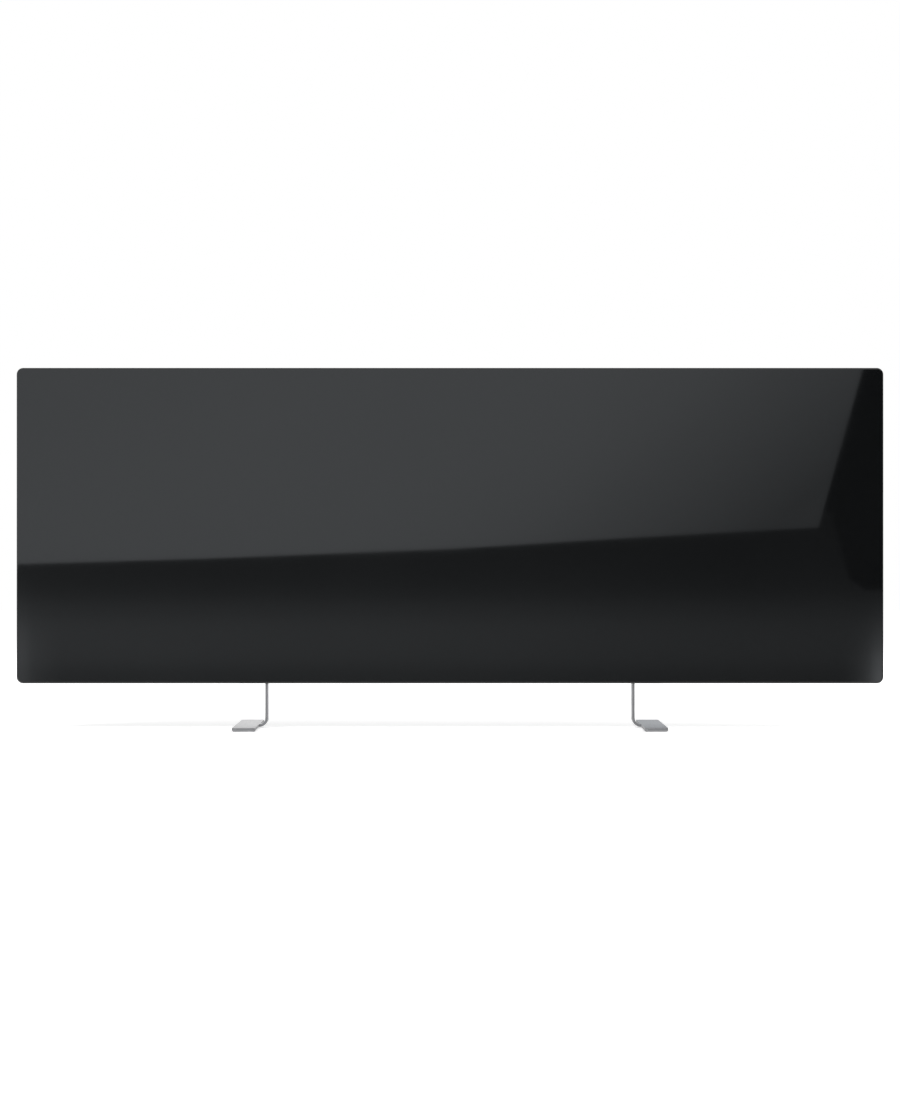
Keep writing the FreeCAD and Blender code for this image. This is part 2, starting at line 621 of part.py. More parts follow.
def cover_slots():
    """Air slots beside and between the rails, two rows at the top and two at the bottom."""
    bay_edge = RAIL_X - RAIL_HALF_WIDTH - SLOT_BAY_MARGIN
    outer_start = RAIL_X + RAIL_HALF_WIDTH + SLOT_BAY_MARGIN
    outer_end = OPENING_WIDTH / 2 - SLOT_BAY_MARGIN
    depth = COVER_SHEET + 2 * OVERRUN
    start_y = HOUSING_BACK_Y + FIELD_RISE - OVERRUN
    outer_row = OPENING_HEIGHT / 2 - COVER_SLOT_DROP
    inner_row = outer_row - COVER_SLOT_PITCH
    cutters = []
    for low, high in ((-outer_end, -outer_start), (-bay_edge, bay_edge), (outer_start, outer_end)):
        for x in spread(low, high, COVER_SLOT_LENGTH, COVER_SLOT_BRIDGE):
            for level in (-outer_row, -inner_row, inner_row, outer_row):
                cutters.append(slot_block("y", point(x, start_y, PANEL_MID_Z + level), COVER_SLOT_LENGTH,
                                          COVER_SLOT_WIDTH, depth))
    return cutters


def rear_cover():
    sheet = rounded_block("y", point(0, HOUSING_BACK_Y, PANEL_MID_Z), HOUSING_WIDTH - 2 * COVER_EDGE_GAP,
                          HOUSING_HEIGHT - 2 * COVER_EDGE_GAP, COVER_CORNER_RADIUS, COVER_SHEET)
    pressed = sheet.fuse(raised_field(COVER_FACE_Y)).cut(raised_field(HOUSING_BACK_Y))
    through = COVER_SHEET + 2 * OVERRUN
    cutters = cover_slots()
    for x, z in cover_screw_places():
        cutters.append(rod(point(x, HOUSING_BACK_Y - OVERRUN, z), Y_AXIS,
                           COVER_SCREW_RADIUS + SCREW_HOLE_CLEARANCE, through))
    for x in (-RAIL_X, RAIL_X):
        cutters.append(keyhole(x, HOUSING_BACK_Y + FIELD_RISE - OVERRUN, through, KEYHOLE_WINDOW_MARGIN))
    return pressed.cut(cutters)


def cover_screws():
    seats = [point(x, COVER_FACE_Y, z) for x, z in cover_screw_places()]
    return Part.makeCompound([
        screw(seat, Y_AXIS * -1, COVER_SCREW_RADIUS, COVER_SCREW_LENGTH,
              COVER_SCREW_HEAD_RADIUS, COVER_SCREW_HEAD_HEIGHT)
        for seat in seats
    ])


def rail():
    """Hat-section rail of the right side: flanges on the reflector, web on the rear flange, clear of the nuts."""
    half = RAIL_WEB / 2
    wide = RAIL_HALF_WIDTH
    inner = half - RAIL_SHEET
    front = RAIL_FRONT_Y
    lip = front + RAIL_SHEET
    back = RAIL_BACK_Y
    outline = [(-wide, front), (-inner, front), (-inner, back - RAIL_SHEET), (inner, back - RAIL_SHEET),
               (inner, front), (wide, front), (wide, lip), (half, lip), (half, back), (-half, back),
               (-half, lip), (-wide, lip)]
    corners = [point(RAIL_X + x, y, FLOOR_INSIDE_Z + RAIL_LIFT) for x, y in outline]
    length = HOUSING_HEIGHT - 2 * HOUSING_SHEET - RAIL_LIFT
    section = polygon_block(corners, Z_AXIS * length)
    return section.cut(keyhole(RAIL_X, back - RAIL_SHEET - OVERRUN, RAIL_SHEET + 2 * OVERRUN, 0))


def layer(mid_x, front_y, width, thickness):
    """Flat sheet of the height of the film."""
    low = point(mid_x - width / 2, front_y, PANEL_MID_Z - FILM_HEIGHT / 2)
    high = point(mid_x + width / 2, front_y + thickness, PANEL_MID_Z + FILM_HEIGHT / 2)
    return box_between(low, high)


def heating_film():
    return layer(FILM_LEFT_X + FILM_WIDTH / 2, GLASS_BACK_Y, FILM_WIDTH, FILM_THICKNESS)


def heating_track():
    """Printed path that runs to and fro across the film with both ends at the right."""
    half = TRACK_WIDTH / 2
    left = FILM_LEFT_X + TRACK_MARGIN
    right = FILM_RIGHT_X - LUG_STRIP - TRACK_MARGIN
    back_y = TRACK_Y + TRACK_THICKNESS
    runs = []
    for index in range(TRACK_PASSES):
        z = LOWEST_PASS_Z + index * TRACK_PITCH
        stop = FILM_RIGHT_X - TRACK_MARGIN if index in (0, TRACK_PASSES - 1) else right
        runs.append(box_between(point(left, TRACK_Y, z - half), point(stop, back_y, z + half)))
    for index in range(TRACK_PASSES - 1):
        z = LOWEST_PASS_Z + index * TRACK_PITCH
        start = left if index % 2 == 0 else right - TRACK_WIDTH
        runs.append(box_between(point(start, TRACK_Y, z), point(start + TRACK_WIDTH, back_y, z + TRACK_PITCH)))
    return joined(runs)


def film_lugs():
    lugs = []
    for z in (LOWEST_PASS_Z, HIGHEST_PASS_Z):
        low = point(LUG_MID_X - LUG_LENGTH / 2, INSULATION_Y, z - LUG_HEIGHT / 2)
        high = point(LUG_MID_X + LUG_LENGTH / 2, LUG_BACK_Y, z + LUG_HEIGHT / 2)
        lugs.append(box_between(low, high))
    return Part.makeCompound(lugs)


def insulation_board():
    return layer(BOARD_MID_X, INSULATION_Y, BOARD_WIDTH_X, INSULATION_THICKNESS)


def reflector_sheet():
    return layer(BOARD_MID_X, REFLECTOR_Y, BOARD_WIDTH_X, REFLECTOR_SHEET)


def leg_profile():
    """Section of the right leg: foot bend, stem and seat bend, without the long foot flange."""
    low = PAD_THICKNESS
    high = HOUSING_BOTTOM_Z
    outside = LEG_BEND_RADIUS
    inside = LEG_BEND_RADIUS - LEG_PLATE
    lean = math.sqrt(0.5)
    foot_centre = point(FOOT_INNER_X, STEM_FRONT_Y, low + outside)
    seat_centre = point(SEAT_BEND_X, STEM_FRONT_Y, high - outside)
    toward_foot = (X_AXIS + Z_AXIS) * -lean
    toward_seat = (X_AXIS + Z_AXIS) * lean
    seat_end = point(SEAT_END_X, STEM_FRONT_Y, high)
    seat_end_low = seat_end - Z_AXIS * LEG_PLATE
    edges = [
        arc(foot_centre - Z_AXIS * outside, foot_centre + toward_foot * outside, foot_centre - X_AXIS * outside),
        line(foot_centre - X_AXIS * outside, seat_centre + X_AXIS * inside),
        arc(seat_centre + X_AXIS * inside, seat_centre + toward_seat * inside, seat_centre + Z_AXIS * inside),
        line(seat_centre + Z_AXIS * inside, seat_end_low),
        line(seat_end_low, seat_end),
        line(seat_end, seat_centre + Z_AXIS * outside),
        arc(seat_centre + Z_AXIS * outside, seat_centre + toward_seat * outside, seat_centre + X_AXIS * outside),
        line(seat_centre + X_AXIS * outside, foot_centre - X_AXIS * inside),
        arc(foot_centre - X_AXIS * inside, foot_centre + toward_foot * inside, foot_centre - Z_AXIS * inside),
        line(foot_centre - Z_AXIS * inside, foot_centre - Z_AXIS * outside),
    ]
    return Part.Face(Part.Wire(edges))


def leg():
    """Right leg: foot flange outward on the floor, upright stem, seat flange inward under the housing."""
    bent = leg_profile().extrude(Y_AXIS * STEM_DEPTH)
    free_corners = [edge for edge in edges_on(bent, "X", SEAT_END_X) if edge.BoundBox.YLength < SNAP]
    bent = bent.makeFillet(SEAT_CORNER_RADIUS, free_corners)
    foot = rounded_block("z", point(FOOT_MID_X, 0, PAD_THICKNESS), FOOT_FLANGE, FOOT_LENGTH,
                         FOOT_CORNER_RADIUS, LEG_PLATE)
    holes = []
    for x, y in leg_screw_places():
        holes.append(rod(point(x, y, HOUSING_BOTTOM_Z - LEG_PLATE - OVERRUN), Z_AXIS,
                         LEG_SCREW_RADIUS + SCREW_HOLE_CLEARANCE, LEG_PLATE + 2 * OVERRUN))
    return joined([bent, foot]).cut(holes)


def leg_screws():
    length = LEG_PLATE + HOUSING_SHEET + LEG_NUT_HEIGHT + LEG_SCREW_END
    seat_z = HOUSING_BOTTOM_Z - LEG_PLATE
    return Part.makeCompound([
        screw(point(x, y, seat_z), Z_AXIS, LEG_SCREW_RADIUS, length, LEG_SCREW_HEAD_RADIUS,
              LEG_SCREW_HEAD_HEIGHT)
        for x, y in leg_screw_places()
    ])


def bored_nut(centre, flats, height, bore):
    hole = rod(centre - Z_AXIS * OVERRUN, Z_AXIS, bore, height + 2 * OVERRUN)
    return hexagon_block(centre, flats, height).cut(hole)


def leg_nuts():
    bore = LEG_SCREW_RADIUS + THREAD_CLEARANCE
    return Part.makeCompound([
        bored_nut(point(x, y, FLOOR_INSIDE_Z), LEG_NUT_FLATS, LEG_NUT_HEIGHT, bore)
        for x, y in leg_screw_places()
    ])


def foot_pads():
    """Front and rear pad under the right foot."""
    reach = FOOT_LENGTH / 2 - PAD_EDGE_GAP - PAD_LENGTH / 2
    width = FOOT_FLANGE - 2 * PAD_EDGE_GAP
    return Part.makeCompound([
        rounded_block("z", point(FOOT_MID_X, y, 0), width, PAD_LENGTH, PAD_CORNER_RADIUS, PAD_THICKNESS)
        for y in (-reach, reach)
    ])


def button_heights():
    return [FIRST_BUTTON_Z - index * BUTTON_PITCH for index in range(BUTTON_COUNT)]


def control_fascia():
    plate = rounded_block("x", point(HOUSING_RIGHT_X, HOUSING_MID_Y, FASCIA_MID_Z), FASCIA_WIDTH,
                          FASCIA_HEIGHT, FASCIA_CORNER_RADIUS, FASCIA_THICKNESS)
    plate = plate.makeChamfer(FASCIA_EDGE_BEVEL, edges_on(plate, "X", FASCIA_FACE_X))
    bosses = [
        rod(point(BOARD_FACE_X, HOUSING_MID_Y, z), X_AXIS, BOSS_RADIUS, BOARD_STANDOFF)
        for z in (UPPER_BOSS_Z, LOWER_BOSS_Z)
    ]
    through_x = HOUSING_RIGHT_X - OVERRUN
    through = FASCIA_THICKNESS + 2 * OVERRUN
    ledge_base = point(FASCIA_FACE_X - WINDOW_THICKNESS, HOUSING_MID_Y, WINDOW_MID_Z)
    cutters = [
        rounded_block("x", ledge_base, WINDOW_WIDTH, WINDOW_HEIGHT, WINDOW_CORNER_RADIUS,
                      WINDOW_THICKNESS + OVERRUN),
        rounded_block("x", point(through_x, HOUSING_MID_Y, WINDOW_MID_Z), WINDOW_WIDTH - 2 * WINDOW_LEDGE,
                      WINDOW_HEIGHT - 2 * WINDOW_LEDGE, WINDOW_CORNER_RADIUS - WINDOW_LEDGE, through),
        rounded_block("x", point(through_x, HOUSING_MID_Y, ROCKER_Z), ROCKER_BODY_WIDTH + 2 * ROCKER_FIT,
                      ROCKER_BODY_HEIGHT + 2 * ROCKER_FIT, ROCKER_CORNER_RADIUS, through),
    ]
    for z in button_heights():
        cutters.append(rounded_block("x", point(through_x, HOUSING_MID_Y, z),
                                     BUTTON_WIDTH + 2 * BUTTON_CLEARANCE,
                                     BUTTON_HEIGHT + 2 * BUTTON_CLEARANCE,
                                     BUTTON_CORNER_RADIUS + BUTTON_CLEARANCE, through))
    for z in fascia_screw_heights():
        cutters.append(rod(point(through_x, HOUSING_MID_Y, z), X_AXIS,
                           FASCIA_SCREW_RADIUS + SCREW_HOLE_CLEARANCE, through))
    return joined([plate] + bosses).cut(cutters)


def fascia_screws():
    return Part.makeCompound([
        screw(point(FASCIA_FACE_X, HOUSING_MID_Y, z), X_AXIS * -1, FASCIA_SCREW_RADIUS,
              FASCIA_SCREW_LENGTH, FASCIA_SCREW_HEAD_RADIUS, FASCIA_SCREW_HEAD_HEIGHT)
        for z in fascia_screw_heights()
    ])


def control_box():
    """Moulded box behind the fascia, open to it, with a lead entry in its lower end."""
    outer = rounded_block("x", point(BOX_BACK_X, HOUSING_MID_Y, FASCIA_MID_Z), BOX_WIDTH, BOX_HEIGHT,
                          BOX_CORNER_RADIUS, BOX_DEPTH)
    inner = rounded_block("x", point(BOX_BACK_X + BOX_WALL, HOUSING_MID_Y, FASCIA_MID_Z),
                          BOX_WIDTH - 2 * BOX_WALL, BOX_HEIGHT - 2 * BOX_WALL,
                          BOX_CORNER_RADIUS - BOX_WALL / 2, BOX_DEPTH)
    entry_x = BOX_BACK_X + BOX_WALL + BOX_ENTRY_LENGTH / 2
    entry = rounded_block("z", point(entry_x, HOUSING_MID_Y, BOX_BOTTOM_Z - OVERRUN), BOX_ENTRY_LENGTH,
                          BOX_WIDTH - 2 * BOX_WALL, BOX_ENTRY_RADIUS, BOX_WALL + 2 * OVERRUN)
    return outer.cut([inner, entry])


def display_window():
    return rounded_block("x", point(FASCIA_FACE_X - WINDOW_THICKNESS, HOUSING_MID_Y, WINDOW_MID_Z),
                         WINDOW_WIDTH - 2 * WINDOW_FIT, WINDOW_HEIGHT - 2 * WINDOW_FIT,
                         WINDOW_CORNER_RADIUS - WINDOW_FIT, WINDOW_THICKNESS)


def display_module():
    return rounded_block("x", point(BOARD_FACE_X, HOUSING_MID_Y, WINDOW_MID_Z), WINDOW_WIDTH, WINDOW_HEIGHT,
                         WINDOW_CORNER_RADIUS - WINDOW_LEDGE, BOARD_STANDOFF - DISPLAY_GAP)


def control_board():
    half = BOARD_WIDTH / 2
    low = point(BOARD_BACK_X, HOUSING_MID_Y - half, BOARD_BOTTOM_Z)
    return box_between(low, point(BOARD_FACE_X, HOUSING_MID_Y + half, BOARD_TOP_Z))


def tact_switches():
    """One switch body per button, each with a bore for the button's pin."""
    half = TACT_SIZE / 2
    switches = []
    for z in button_heights():
        low = point(BOARD_FACE_X, HOUSING_MID_Y - half, z - half)
        high = point(BOARD_FACE_X + TACT_HEIGHT, HOUSING_MID_Y + half, z + half)
        bore = rod(point(high.x - TACT_BORE_DEPTH, HOUSING_MID_Y, z), X_AXIS,
                   BUTTON_PIN_RADIUS + BUTTON_PIN_CLEARANCE, TACT_BORE_DEPTH + OVERRUN)
        switches.append(box_between(low, high).cut(bore))
    return Part.makeCompound(switches)


def button(index):
    """Cap through the fascia, a rim behind it and a pin that reaches into the switch."""
    z = button_heights()[index]
    rim_back_x = HOUSING_RIGHT_X - BUTTON_SEAT_GAP - BUTTON_RIM_THICKNESS
    cap_face_x = FASCIA_FACE_X + BUTTON_PROUD
    cap = rounded_block("x", point(rim_back_x, HOUSING_MID_Y, z), BUTTON_WIDTH, BUTTON_HEIGHT,
                        BUTTON_CORNER_RADIUS, cap_face_x - rim_back_x)
    cap = cap.makeChamfer(BUTTON_EDGE_BEVEL, edges_on(cap, "X", cap_face_x))
    rim = rounded_block("x", point(rim_back_x, HOUSING_MID_Y, z), BUTTON_WIDTH + 2 * BUTTON_RIM,
                        BUTTON_HEIGHT + 2 * BUTTON_RIM, BUTTON_CORNER_RADIUS + BUTTON_RIM,
                        BUTTON_RIM_THICKNESS)
    pin_x = BOARD_FACE_X + TACT_HEIGHT - BUTTON_PIN_ENGAGEMENT
    pin = rod(point(pin_x, HOUSING_MID_Y, z), X_AXIS, BUTTON_PIN_RADIUS, rim_back_x - pin_x)
    return joined([cap, rim, pin])


def rocker_body():
    body = rounded_block("x", point(ROCKER_BACK_X, HOUSING_MID_Y, ROCKER_Z), ROCKER_BODY_WIDTH,
                         ROCKER_BODY_HEIGHT, ROCKER_CORNER_RADIUS, ROCKER_BODY_DEPTH)
    bezel = rounded_block("x", point(FASCIA_FACE_X, HOUSING_MID_Y, ROCKER_Z),
                          ROCKER_BODY_WIDTH + 2 * ROCKER_BEZEL_RIM, ROCKER_BEZEL_HEIGHT,
                          ROCKER_CORNER_RADIUS + ROCKER_BEZEL_RIM, ROCKER_BEZEL_THICKNESS)
    face_x = FASCIA_FACE_X + ROCKER_BEZEL_THICKNESS
    bezel = bezel.makeChamfer(ROCKER_BEZEL_THICKNESS / 2, edges_on(bezel, "X", face_x))
    half_width = ROCKER_BODY_WIDTH / 2 - ROCKER_WALL
    half_height = ROCKER_BODY_HEIGHT / 2 - ROCKER_WALL
    cavity = box_between(
        point(face_x - ROCKER_CAVITY_DEPTH, HOUSING_MID_Y - half_width, ROCKER_Z - half_height),
        point(face_x + OVERRUN, HOUSING_MID_Y + half_width, ROCKER_Z + half_height))
    bearing = rod(point(KEY_PIVOT_X, HOUSING_MID_Y - ROCKER_BODY_WIDTH / 2, ROCKER_Z), Y_AXIS,
                  TRUNNION_RADIUS + TRUNNION_CLEARANCE, ROCKER_BODY_WIDTH)
    return joined([body, bezel]).cut([cavity, bearing])


def rocker_key():
    """Saddle-shaped key on two trunnions, tilted to its off side."""
    reach = ROCKER_BODY_HEIGHT / 2 - ROCKER_WALL - KEY_END_CLEARANCE
    saddle = KEY_PIVOT_DEPTH - KEY_SADDLE_DEPTH
    crest = saddle + reach * math.tan(math.radians(KEY_TILT_DEGREES))
    hub = KEY_HUB_WIDTH / 2
    outline = [(saddle, 0), (crest, reach), (crest - KEY_SKIRT, reach), (-KEY_HUB_DEPTH, hub),
               (-KEY_HUB_DEPTH, -hub), (crest - KEY_SKIRT, -reach), (crest, -reach)]
    start_y = HOUSING_MID_Y - KEY_WIDTH / 2
    corners = [point(KEY_PIVOT_X + x, start_y, ROCKER_Z + z) for x, z in outline]
    key = polygon_block(corners, Y_AXIS * KEY_WIDTH)
    crests = [edge for edge in key.Edges if edge.BoundBox.XMin > KEY_PIVOT_X + crest - SNAP]
    key = key.makeChamfer(KEY_EDGE_BEVEL, crests)
    overhang = KEY_SIDE_CLEARANCE + TRUNNION_LENGTH
    trunnions = rod(point(KEY_PIVOT_X, start_y - overhang, ROCKER_Z), Y_AXIS, TRUNNION_RADIUS,
                    KEY_WIDTH + 2 * overhang)
    key = key.fuse(trunnions)
    key.rotate(point(KEY_PIVOT_X, HOUSING_MID_Y, ROCKER_Z), Y_AXIS, KEY_TILT_DEGREES)
    return key


def rocker_blades():
    blades = []
    for z in (ROCKER_Z - BLADE_SPACING / 2, ROCKER_Z + BLADE_SPACING / 2):
        low = point(BLADE_TIP_X, HOUSING_MID_Y - BLADE_WIDTH / 2, z - BLADE_THICKNESS / 2)
        high = point(ROCKER_BACK_X, HOUSING_MID_Y + BLADE_WIDTH / 2, z + BLADE_THICKNESS / 2)
        blades.append(box_between(low, high))
    return Part.makeCompound(blades)


def power_relay():
    half = RELAY_WIDTH / 2
    low = point(RELAY_BACK_X, HOUSING_MID_Y - half, RELAY_BOTTOM_Z)
    return box_between(low, point(BOARD_BACK_X, HOUSING_MID_Y + half, RELAY_BOTTOM_Z + RELAY_HEIGHT))


def gland_ring(bottom_z, outer, inner, height):
    base = point(GLAND_PLACE, HOUSING_MID_Y, bottom_z)
    hole = rod(base - Z_AXIS * OVERRUN, Z_AXIS, inner, height + 2 * OVERRUN)
    return rod(base, Z_AXIS, outer, height).cut(hole)


def gland_seal_radius():
    return GLAND_THREAD_RADIUS - GLAND_SLEEVE_WALL - GLAND_HOLE_CLEARANCE


def gland_body():
    """Threaded sleeve through the wall, a hexagonal collar below it and a sleeve for the seal."""
    centre = point(GLAND_PLACE, HOUSING_MID_Y, HOUSING_BOTTOM_Z - GLAND_COLLAR)
    thread = HOUSING_SHEET + GLAND_NUT_HEIGHT + GLAND_THREAD_END
    collar = hexagon_block(centre, GLAND_FLATS, GLAND_COLLAR)
    upper = rod(point(GLAND_PLACE, HOUSING_MID_Y, HOUSING_BOTTOM_Z), Z_AXIS, GLAND_THREAD_RADIUS, thread)
    lower = rod(centre, Z_AXIS * -1, GLAND_THREAD_RADIUS, GLAND_SLEEVE_LENGTH)
    bore = rod(centre - Z_AXIS * OVERRUN, Z_AXIS, GLAND_BORE_RADIUS + GLAND_CAP_LIP,
               GLAND_COLLAR + thread + 2 * OVERRUN)
    pocket = rod(centre, Z_AXIS * -1, GLAND_THREAD_RADIUS - GLAND_SLEEVE_WALL, GLAND_SLEEVE_LENGTH + OVERRUN)
    return joined([collar, upper, lower]).cut([bore, pocket])


def gland_nut():
    centre = point(GLAND_PLACE, HOUSING_MID_Y, FLOOR_INSIDE_Z)
    return bored_nut(centre, GLAND_FLATS, GLAND_NUT_HEIGHT, GLAND_THREAD_RADIUS + GLAND_HOLE_CLEARANCE)


def gland_cap():
    top_z = HOUSING_BOTTOM_Z - GLAND_COLLAR
    height = GLAND_SLEEVE_LENGTH + GLAND_CAP_END
    bottom_z = top_z - height
    inner = GLAND_THREAD_RADIUS + GLAND_HOLE_CLEARANCE
    base = point(GLAND_PLACE, HOUSING_MID_Y, bottom_z)
    dome = rod(base, Z_AXIS, inner + GLAND_CAP_WALL, height)
    dome = dome.makeChamfer(GLAND_CAP_BEVEL, edges_on(dome, "Z", bottom_z))
    pocket = rod(base + Z_AXIS * GLAND_CAP_END, Z_AXIS, inner, height)
    hole = rod(base - Z_AXIS * OVERRUN, Z_AXIS, GLAND_BORE_RADIUS + GLAND_CAP_LIP, height)
    return dome.cut([pocket, hole])


def gland_seal():
    bottom_z = HOUSING_BOTTOM_Z - GLAND_COLLAR - GLAND_SLEEVE_LENGTH
    return gland_ring(bottom_z, gland_seal_radius(), GLAND_BORE_RADIUS, GLAND_SEAL_LENGTH)


def terminal_middles():
    first = TERMINAL_MID_X - TERMINAL_WIDTH / 2 + TERMINAL_PITCH / 2
    return [first + index * TERMINAL_PITCH for index in range(TERMINAL_POLES)]


def terminal_block():
    """Insulating block with a groove between poles and a screw well in front of each lead."""
    half = TERMINAL_DEPTH / 2
    low = point(TERMINAL_MID_X - TERMINAL_WIDTH / 2, HOUSING_MID_Y - half, FLOOR_INSIDE_Z)
    high = point(TERMINAL_MID_X + TERMINAL_WIDTH / 2, HOUSING_MID_Y + half, TERMINAL_TOP_Z)
    cutters = []
    for x in terminal_middles()[:-1]:
        groove_x = x + TERMINAL_PITCH / 2 - TERMINAL_GROOVE_WIDTH / 2
        start = point(groove_x, low.y - OVERRUN, TERMINAL_TOP_Z - TERMINAL_GROOVE_DEPTH)
        end = point(groove_x + TERMINAL_GROOVE_WIDTH, high.y + OVERRUN, TERMINAL_TOP_Z + OVERRUN)
        cutters.append(box_between(start, end))
    return box_between(low, high).cut(cutters)


def terminal_screws():
    """Screw heads in the rear face of the block, one per pole."""
    face_y = HOUSING_MID_Y + TERMINAL_DEPTH / 2
    mid_z = FLOOR_INSIDE_Z + TERMINAL_HEIGHT / 2
    return Part.makeCompound([
        rod(point(x, face_y, mid_z), Y_AXIS, TERMINAL_SCREW_RADIUS, TERMINAL_SCREW_DEPTH)
        for x in terminal_middles()
    ])


def earth_stud():
    base = point(EARTH_X, HOUSING_MID_Y, FLOOR_INSIDE_Z)
    nut = hexagon_block(base, EARTH_NUT_FLATS, EARTH_NUT_HEIGHT)
    return joined([nut, rod(base, Z_AXIS, EARTH_STUD_RADIUS, EARTH_STUD_HEIGHT)])


def air_sensor():
    return rounded_block("z", point(SENSOR_X, HOUSING_MID_Y + LEAD_STEP, FLOOR_INSIDE_Z), SENSOR_LENGTH,
                         SENSOR_WIDTH, SENSOR_CORNER_RADIUS, SENSOR_HEIGHT)


def thermal_cutout():
    """Round bimetal switch on the reflector with a blade to each side."""
    base = point(CUTOUT_PLACE, RAIL_FRONT_Y, CUTOUT_Z)
    rim = rod(base, Y_AXIS, CUTOUT_RADIUS + CUTOUT_RIM, CUTOUT_RIM_THICKNESS)
    can = rod(base, Y_AXIS, CUTOUT_RADIUS, CUTOUT_HEIGHT)
    reach = CUTOUT_RADIUS + CUTOUT_BLADE_REACH
    low = point(CUTOUT_PLACE - reach, CUTOUT_BACK_Y, CUTOUT_Z - BLADE_WIDTH / 2)
    high = point(CUTOUT_PLACE + reach, CUTOUT_BACK_Y + BLADE_THICKNESS, CUTOUT_Z + BLADE_WIDTH / 2)
    return joined([rim, can, box_between(low, high)])


def live_lead():
    """From the right pole of the terminal block up to the lower blade of the rocker switch."""
    x = terminal_middles()[-1]
    y = HOUSING_MID_Y + LEAD_RADIUS
    blade_z = ROCKER_Z - BLADE_SPACING / 2
    turn_x = BOX_BACK_X + BOX_WALL + BOX_ENTRY_LENGTH / 2
    step_z = (TERMINAL_TOP_Z + BOX_BOTTOM_Z) / 2
    return lead([point(x, y, TERMINAL_TOP_Z), point(x, y, step_z), point(turn_x, y, BOX_BOTTOM_Z - BOX_DEPTH),
                 point(turn_x, y, blade_z), point(BLADE_TIP_X, y, blade_z)], LEAD_RADIUS)


def switched_lead():
    """From the relay down and across to the left blade of the thermal cutout."""
    x = RELAY_BACK_X + LEAD_STEP
    relay_y = HOUSING_MID_Y - LEAD_STEP
    blade_x = CUTOUT_PLACE - CUTOUT_RADIUS - CUTOUT_BLADE_REACH
    blade_y = CUTOUT_BACK_Y + BLADE_THICKNESS / 2
    out_x = blade_x - SWITCHED_LEAD_OUT
    high_z = CUTOUT_Z + SWITCHED_LEAD_RISE
    return lead([point(blade_x, blade_y, CUTOUT_Z), point(out_x, blade_y, CUTOUT_Z),
                 point(out_x, blade_y, high_z), point(x, relay_y, high_z),
                 point(x, relay_y, RELAY_BOTTOM_Z)], LEAD_RADIUS)


def heater_lead():
    """From the right blade of the thermal cutout to the lower lug of the film."""
    blade_x = CUTOUT_PLACE + CUTOUT_RADIUS + CUTOUT_BLADE_REACH
    blade_y = CUTOUT_BACK_Y + BLADE_THICKNESS / 2
    return lead([point(blade_x, blade_y, CUTOUT_Z), point(LUG_MID_X, blade_y, CUTOUT_Z),
                 point(LUG_MID_X, blade_y, LOWEST_PASS_Z),
                 point(LUG_MID_X, LUG_BACK_Y, LOWEST_PASS_Z)], LEAD_RADIUS)


def return_lead():
    """From the left pole of the terminal block to the upper lug of the film."""
    x = terminal_middles()[0]
    y = HOUSING_MID_Y + LEAD_STEP
    return lead([point(x, y, TERMINAL_TOP_Z), point(x, y, HIGHEST_PASS_Z),
                 point(LUG_MID_X, y, HIGHEST_PASS_Z), point(LUG_MID_X, LUG_BACK_Y, HIGHEST_PASS_Z)],
                LEAD_RADIUS)


def earth_lead():
    """From the middle pole of the terminal block to the earth stud."""
    x = terminal_middles()[1]
    y = HOUSING_MID_Y
    high_z = TERMINAL_TOP_Z + EARTH_LEAD_RISE
    return lead([point(x, y, TERMINAL_TOP_Z), point(x, y, high_z), point(EARTH_X, y, high_z),
                 point(EARTH_X, y, FLOOR_INSIDE_Z + EARTH_STUD_HEIGHT)], LEAD_RADIUS)


def sensor_lead():
    """From the air sensor up into the control box and onto the back of the board."""
    y = HOUSING_MID_Y + LEAD_STEP + LEAD_RADIUS + SENSOR_LEAD_RADIUS
    start = point(SENSOR_X, y, FLOOR_INSIDE_Z + SENSOR_HEIGHT)
    across_z = start.z + SENSOR_LEAD_RISE
    inside_x = BOX_BACK_X + BOX_WALL + LEAD_RADIUS + SENSOR_LEAD_RADIUS
    end_z = BOARD_BOTTOM_Z + BOARD_END / 2
    return lead([start, point(SENSOR_X, y, across_z), point(inside_x, y, across_z),
                 point(inside_x, y, end_z), point(BOARD_BACK_X, y, end_z)], SENSOR_LEAD_RADIUS)


